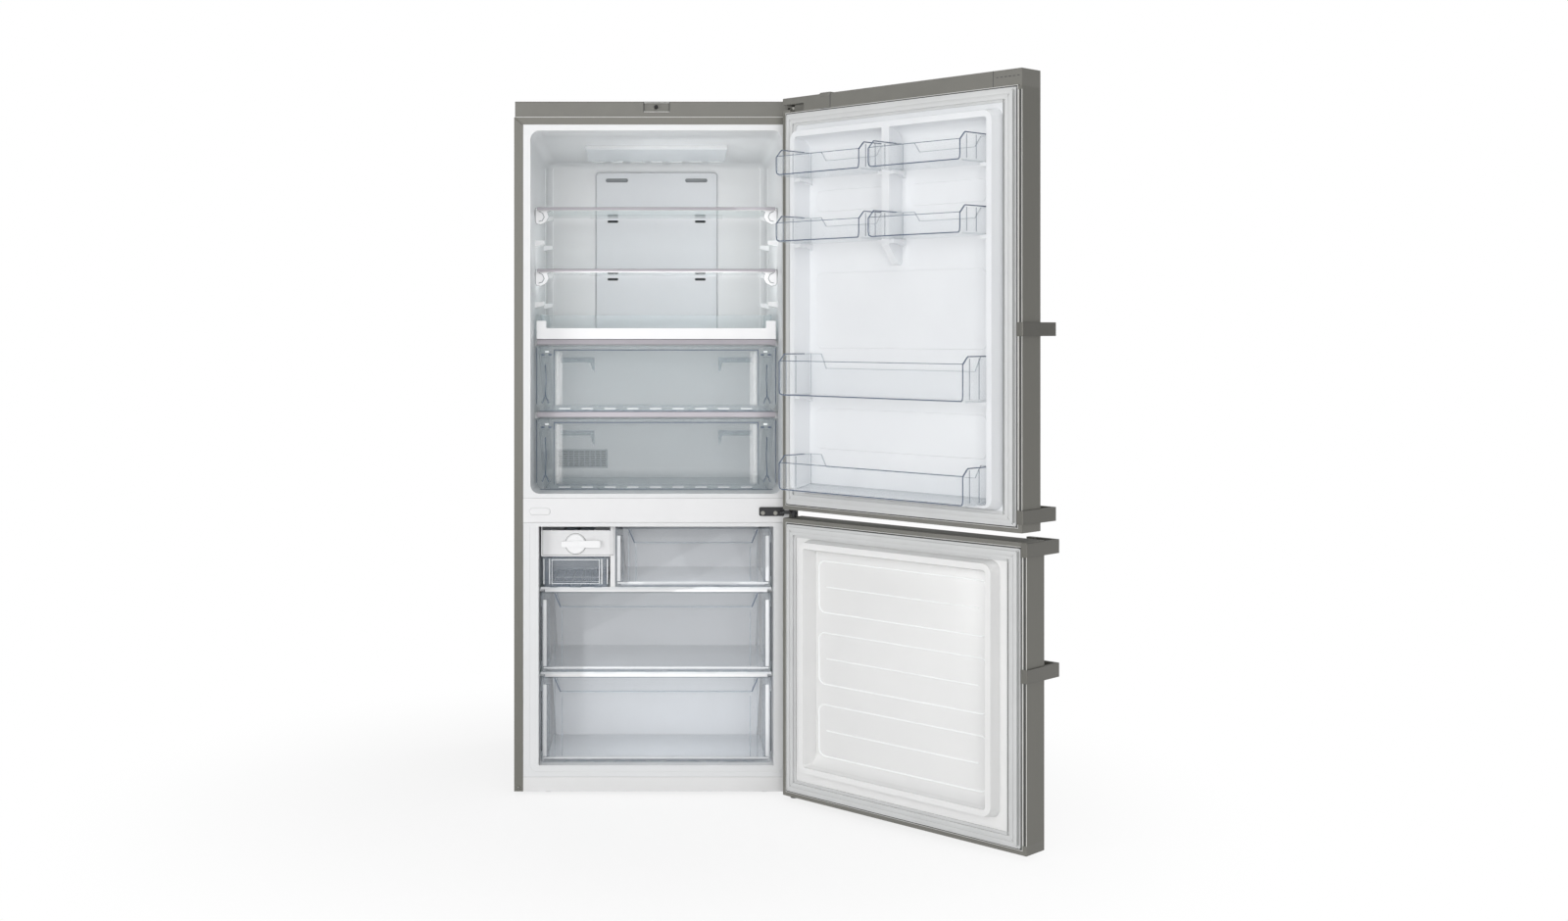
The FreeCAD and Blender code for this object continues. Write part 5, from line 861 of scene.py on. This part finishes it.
# a black plate just behind the lattice: painted shade in the grille's depth
inset, near, far = grilleLook["back"]
Moulding().bar((x0 + inset, y0 + near, z0 + inset), (x1 - inset, y1 - far, z1 - inset), grilleLook["backSoften"]).place(
    "grille_shade", "switchBlack", "cabinet", "black_plastic")

# fridge room: painted highlight lines along the back panel's rounded edge and up each side wall
roomLook = {"panel": (287.5, 540.0, 1128.0, 1602.0), "turn": 16.0, "steps": 6, "panelLine": 1.1,
            "side": (302.4, 447.0, 1130.0, 1585.0), "sideLine": 1.0}
(wide, face, foot, top), turn = roomLook["panel"], roomLook["turn"]
panel = [(-wide, face, foot)]
for way, first in ((-1, 2), (1, 1)):
    panel += arc((way * (wide - turn), face, top - turn), turn, first, first - 1, roomLook["steps"])
panel.append((wide, face, foot))
lines = Moulding().bead(panel, roomLook["panelLine"])
x, y, foot, top = roomLook["side"]
for way in (-1, 1):
    lines.bead([(way * x, y, foot), (way * x, y, top)], roomLook["sideLine"])
lines.place("room_highlights", "lineWhite", "cabinet", "white_liner")

# shelves: claws under their ends with hook and outline, a bright line under each front
clawLook = {
    "levels": (1455.0, 1299.0), "under": (302.0, 106.5, 6.8, 0.7), "deep": (121.0, 126.0), "hookFace": 120.8,
    "hookLine": 1.0, "outline": 0.6, "hook": ((-298, -8), (-288, -13), (-284, -23), (-289, -32), (-298, -34)),
    "claw": ((-306, 0), (-272, 0), (-268, -7), (-276, -10), (-272, -22), (-279, -35), (-292, -42), (-303, -40),
             (-306, -34))}
claws, spots, under = Moulding(), Moulding(), Moulding()
wide, face, drop, thick = clawLook["under"]
near, far = clawLook["deep"]
for level in clawLook["levels"]:
    under.bead([(-wide, face, level - drop), (wide, face, level - drop)], thick)
    for way in (1, -1):
        claws.plate([(way * x, level + z) for x, z in clawLook["claw"]], near, far)
        spots.bead([(way * x, clawLook["hookFace"], level + z) for x, z in clawLook["hook"]], clawLook["hookLine"])
        spots.bead([(way * x, near, level + z) for x, z in clawLook["claw"]], clawLook["outline"], True)
claws.place("shelf_claws", "mouldedWhite", "cabinet", "white_liner")
under.place("shelf_lines", "edgeLight", "cabinet", "trim_grey")
spots.place("shelf_claw_spots", "slotGrey", "cabinet", "grey_plastic")
print("cabinet dressed")


# floor: white to the eye far off, with the shadow kept near the feet
def stageFinish(look):
    finish = Finish("studioWhite")
    finish.set(Base_Color=tone(look["shade"]), Roughness=look["rough"])
    camera, glossy, through = (finish.add("ShaderNodeLightPath", out="Is %s Ray" % ray) for ray in look["rays"])
    seen = camera + glossy + through
    seen = seen.join("MINIMUM", seen, 1.0)
    far = finish.add("ShaderNodeVectorMath", {"operation": "LENGTH"}, {0: finish.spot()}, out="Value")
    white = finish.add("ShaderNodeMapRange", {"interpolation_type": "SMOOTHSTEP"},
                       {"Value": far, "From Min": look["near"], "From Max": look["far"], "To Min": look["white"],
                        "To Max": 1.0})
    glow = finish.add("ShaderNodeEmission", {}, {"Color": (1.0, 1.0, 1.0), "Strength": 1.0})
    finish.surface(finish.add("ShaderNodeMixShader", {}, {0: seen * white, 1: finish.lit, 2: glow}))
    return finish.material


stageLook = {"shade": "f4f4f4", "rough": 0.9, "white": 0.8, "near": 0.45, "far": 1.5, "size": 14.0,
             "rays": ("Camera", "Glossy", "Transmission")}
reach = stageLook["size"]
floorMesh = bpy.data.meshes.new("floor")
floorMesh.from_pydata([(-reach, -reach, 0), (reach, -reach, 0), (reach, reach, 0), (-reach, reach, 0)], [],
                      [(0, 1, 2, 3)])
floorMesh.materials.append(stageFinish(stageLook))
floor = bpy.data.objects.new("floor", floorMesh)
bpy.context.scene.collection.objects.link(floor)

# backdrop: plain white to the camera, dimmer as a light
worldLook = {"strength": 0.36, "seen": 1.0, "shade": (1.0, 1.0, 1.0, 1.0)}
world = bpy.data.worlds.new("studio")
bpy.context.scene.world = world
world.use_nodes = True
tree = world.node_tree
path = tree.nodes.new("ShaderNodeLightPath")
mix = tree.nodes.new("ShaderNodeMix")
mix.data_type = "FLOAT"
mix.inputs["A"].default_value = worldLook["strength"]
mix.inputs["B"].default_value = worldLook["seen"]
tree.links.new(path.outputs["Is Camera Ray"], mix.inputs["Factor"])
back = tree.nodes["Background"]
back.inputs["Color"].default_value = worldLook["shade"]
tree.links.new(mix.outputs["Result"], back.inputs["Strength"])

# lamps: place, aim, size and watts; the camera sees none of them, and the weak ones are not mirrored either
fillWatts = 10.0
lampLooks = {
    "frontSoftbox": ((0.1, -5.2, 1.7), (0.1, 0.3, 0.9), (3.4, 2.4), 87.0),
    "keySoftbox": ((-3.2, -3.0, 1.5), (0.3, 0.0, 0.9), (1.8, 2.2), 60.0),
    "roomFill": ((0.1, 0.125, 1.38), (0.15, 0.5, 1.42), (0.36, 0.42), 0.19),
    "ceilingFill": ((0.0, 0.13, 1.24), (0.0, 0.32, 1.62), (0.5, 0.08), 1.0),
    "crisperFill": ((0.0, 0.095, 0.93), (0.0, 0.5, 0.92), (0.52, 0.3), 0.21),
    "freezerFill": ((0.05, 0.028, 0.38), (0.07, 0.5, 0.34), (0.46, 0.52), 0.31),
    "upperFill": ((0.1, 0.04, 0.57), (0.08, 0.5, 0.56), (0.34, 0.12), 0.045),
    "lowerFill": ((0.03, 0.12, 0.265), (0.03, 0.14, 0.08), (0.46, 0.12), 0.24),
    "rightSoftbox": ((3.8, 2.4, 1.7), (0.5, 0.0, 0.9), (1.8, 2.2), 40.0),
    "edgeFill": ((3.4, -3.0, 1.5), (0.7, -0.4, 0.9), (1.2, 2.0), 8.0),
    "backSoftbox": ((-0.8, 4.8, 2.0), (0.0, 0.5, 0.9), (2.4, 2.0), 55.0),
    "topSoftbox": ((0.6, -1.4, 3.4), (0.5, -0.1, 0.8), (1.6, 1.2), 12.0),
}
for name, (at, aim, (wide, tall), watts) in lampLooks.items():
    lamp = bpy.data.lights.new(name, "AREA")
    lamp.shape = "RECTANGLE"
    lamp.size, lamp.size_y, lamp.energy = wide, tall, watts
    holder = bpy.data.objects.new(name, lamp)
    bpy.context.scene.collection.objects.link(holder)
    holder.location = at
    holder.rotation_euler = (Vector(aim) - Vector(at)).to_track_quat("-Z", "Y").to_euler()
    holder.visible_camera = False
    holder.visible_glossy = holder.visible_transmission = watts > fillWatts
print("stage lit")

# camera at the photograph's place: level, looking along +Y; focal and centre are in the photograph's pixels
cameraLook = {"at": (0.01067, -4.30707, 1.14799), "focal": 1782.5, "wide": 1600.0, "high": 940.0,
              "centre": (673.89, 335.97), "sensor": 36.0, "reach": 60.0, "clearLayers": 40}
lens = bpy.data.cameras.new("camera")
lens.sensor_width = cameraLook["sensor"]
lens.lens = cameraLook["focal"] / cameraLook["wide"] * cameraLook["sensor"]
lens.shift_x = (cameraLook["wide"] / 2 - cameraLook["centre"][0]) / cameraLook["wide"]
lens.shift_y = (cameraLook["centre"][1] - cameraLook["high"] / 2) / cameraLook["wide"]
lens.clip_end = cameraLook["reach"]
camera = bpy.data.objects.new("camera", lens)
bpy.context.scene.collection.objects.link(camera)
camera.location = cameraLook["at"]
camera.rotation_euler = (math.radians(90), 0, 0)
bpy.context.scene.camera = camera
bpy.context.scene.view_settings.view_transform = "Standard"
bpy.context.scene.cycles.transparent_max_bounces = cameraLook["clearLayers"]
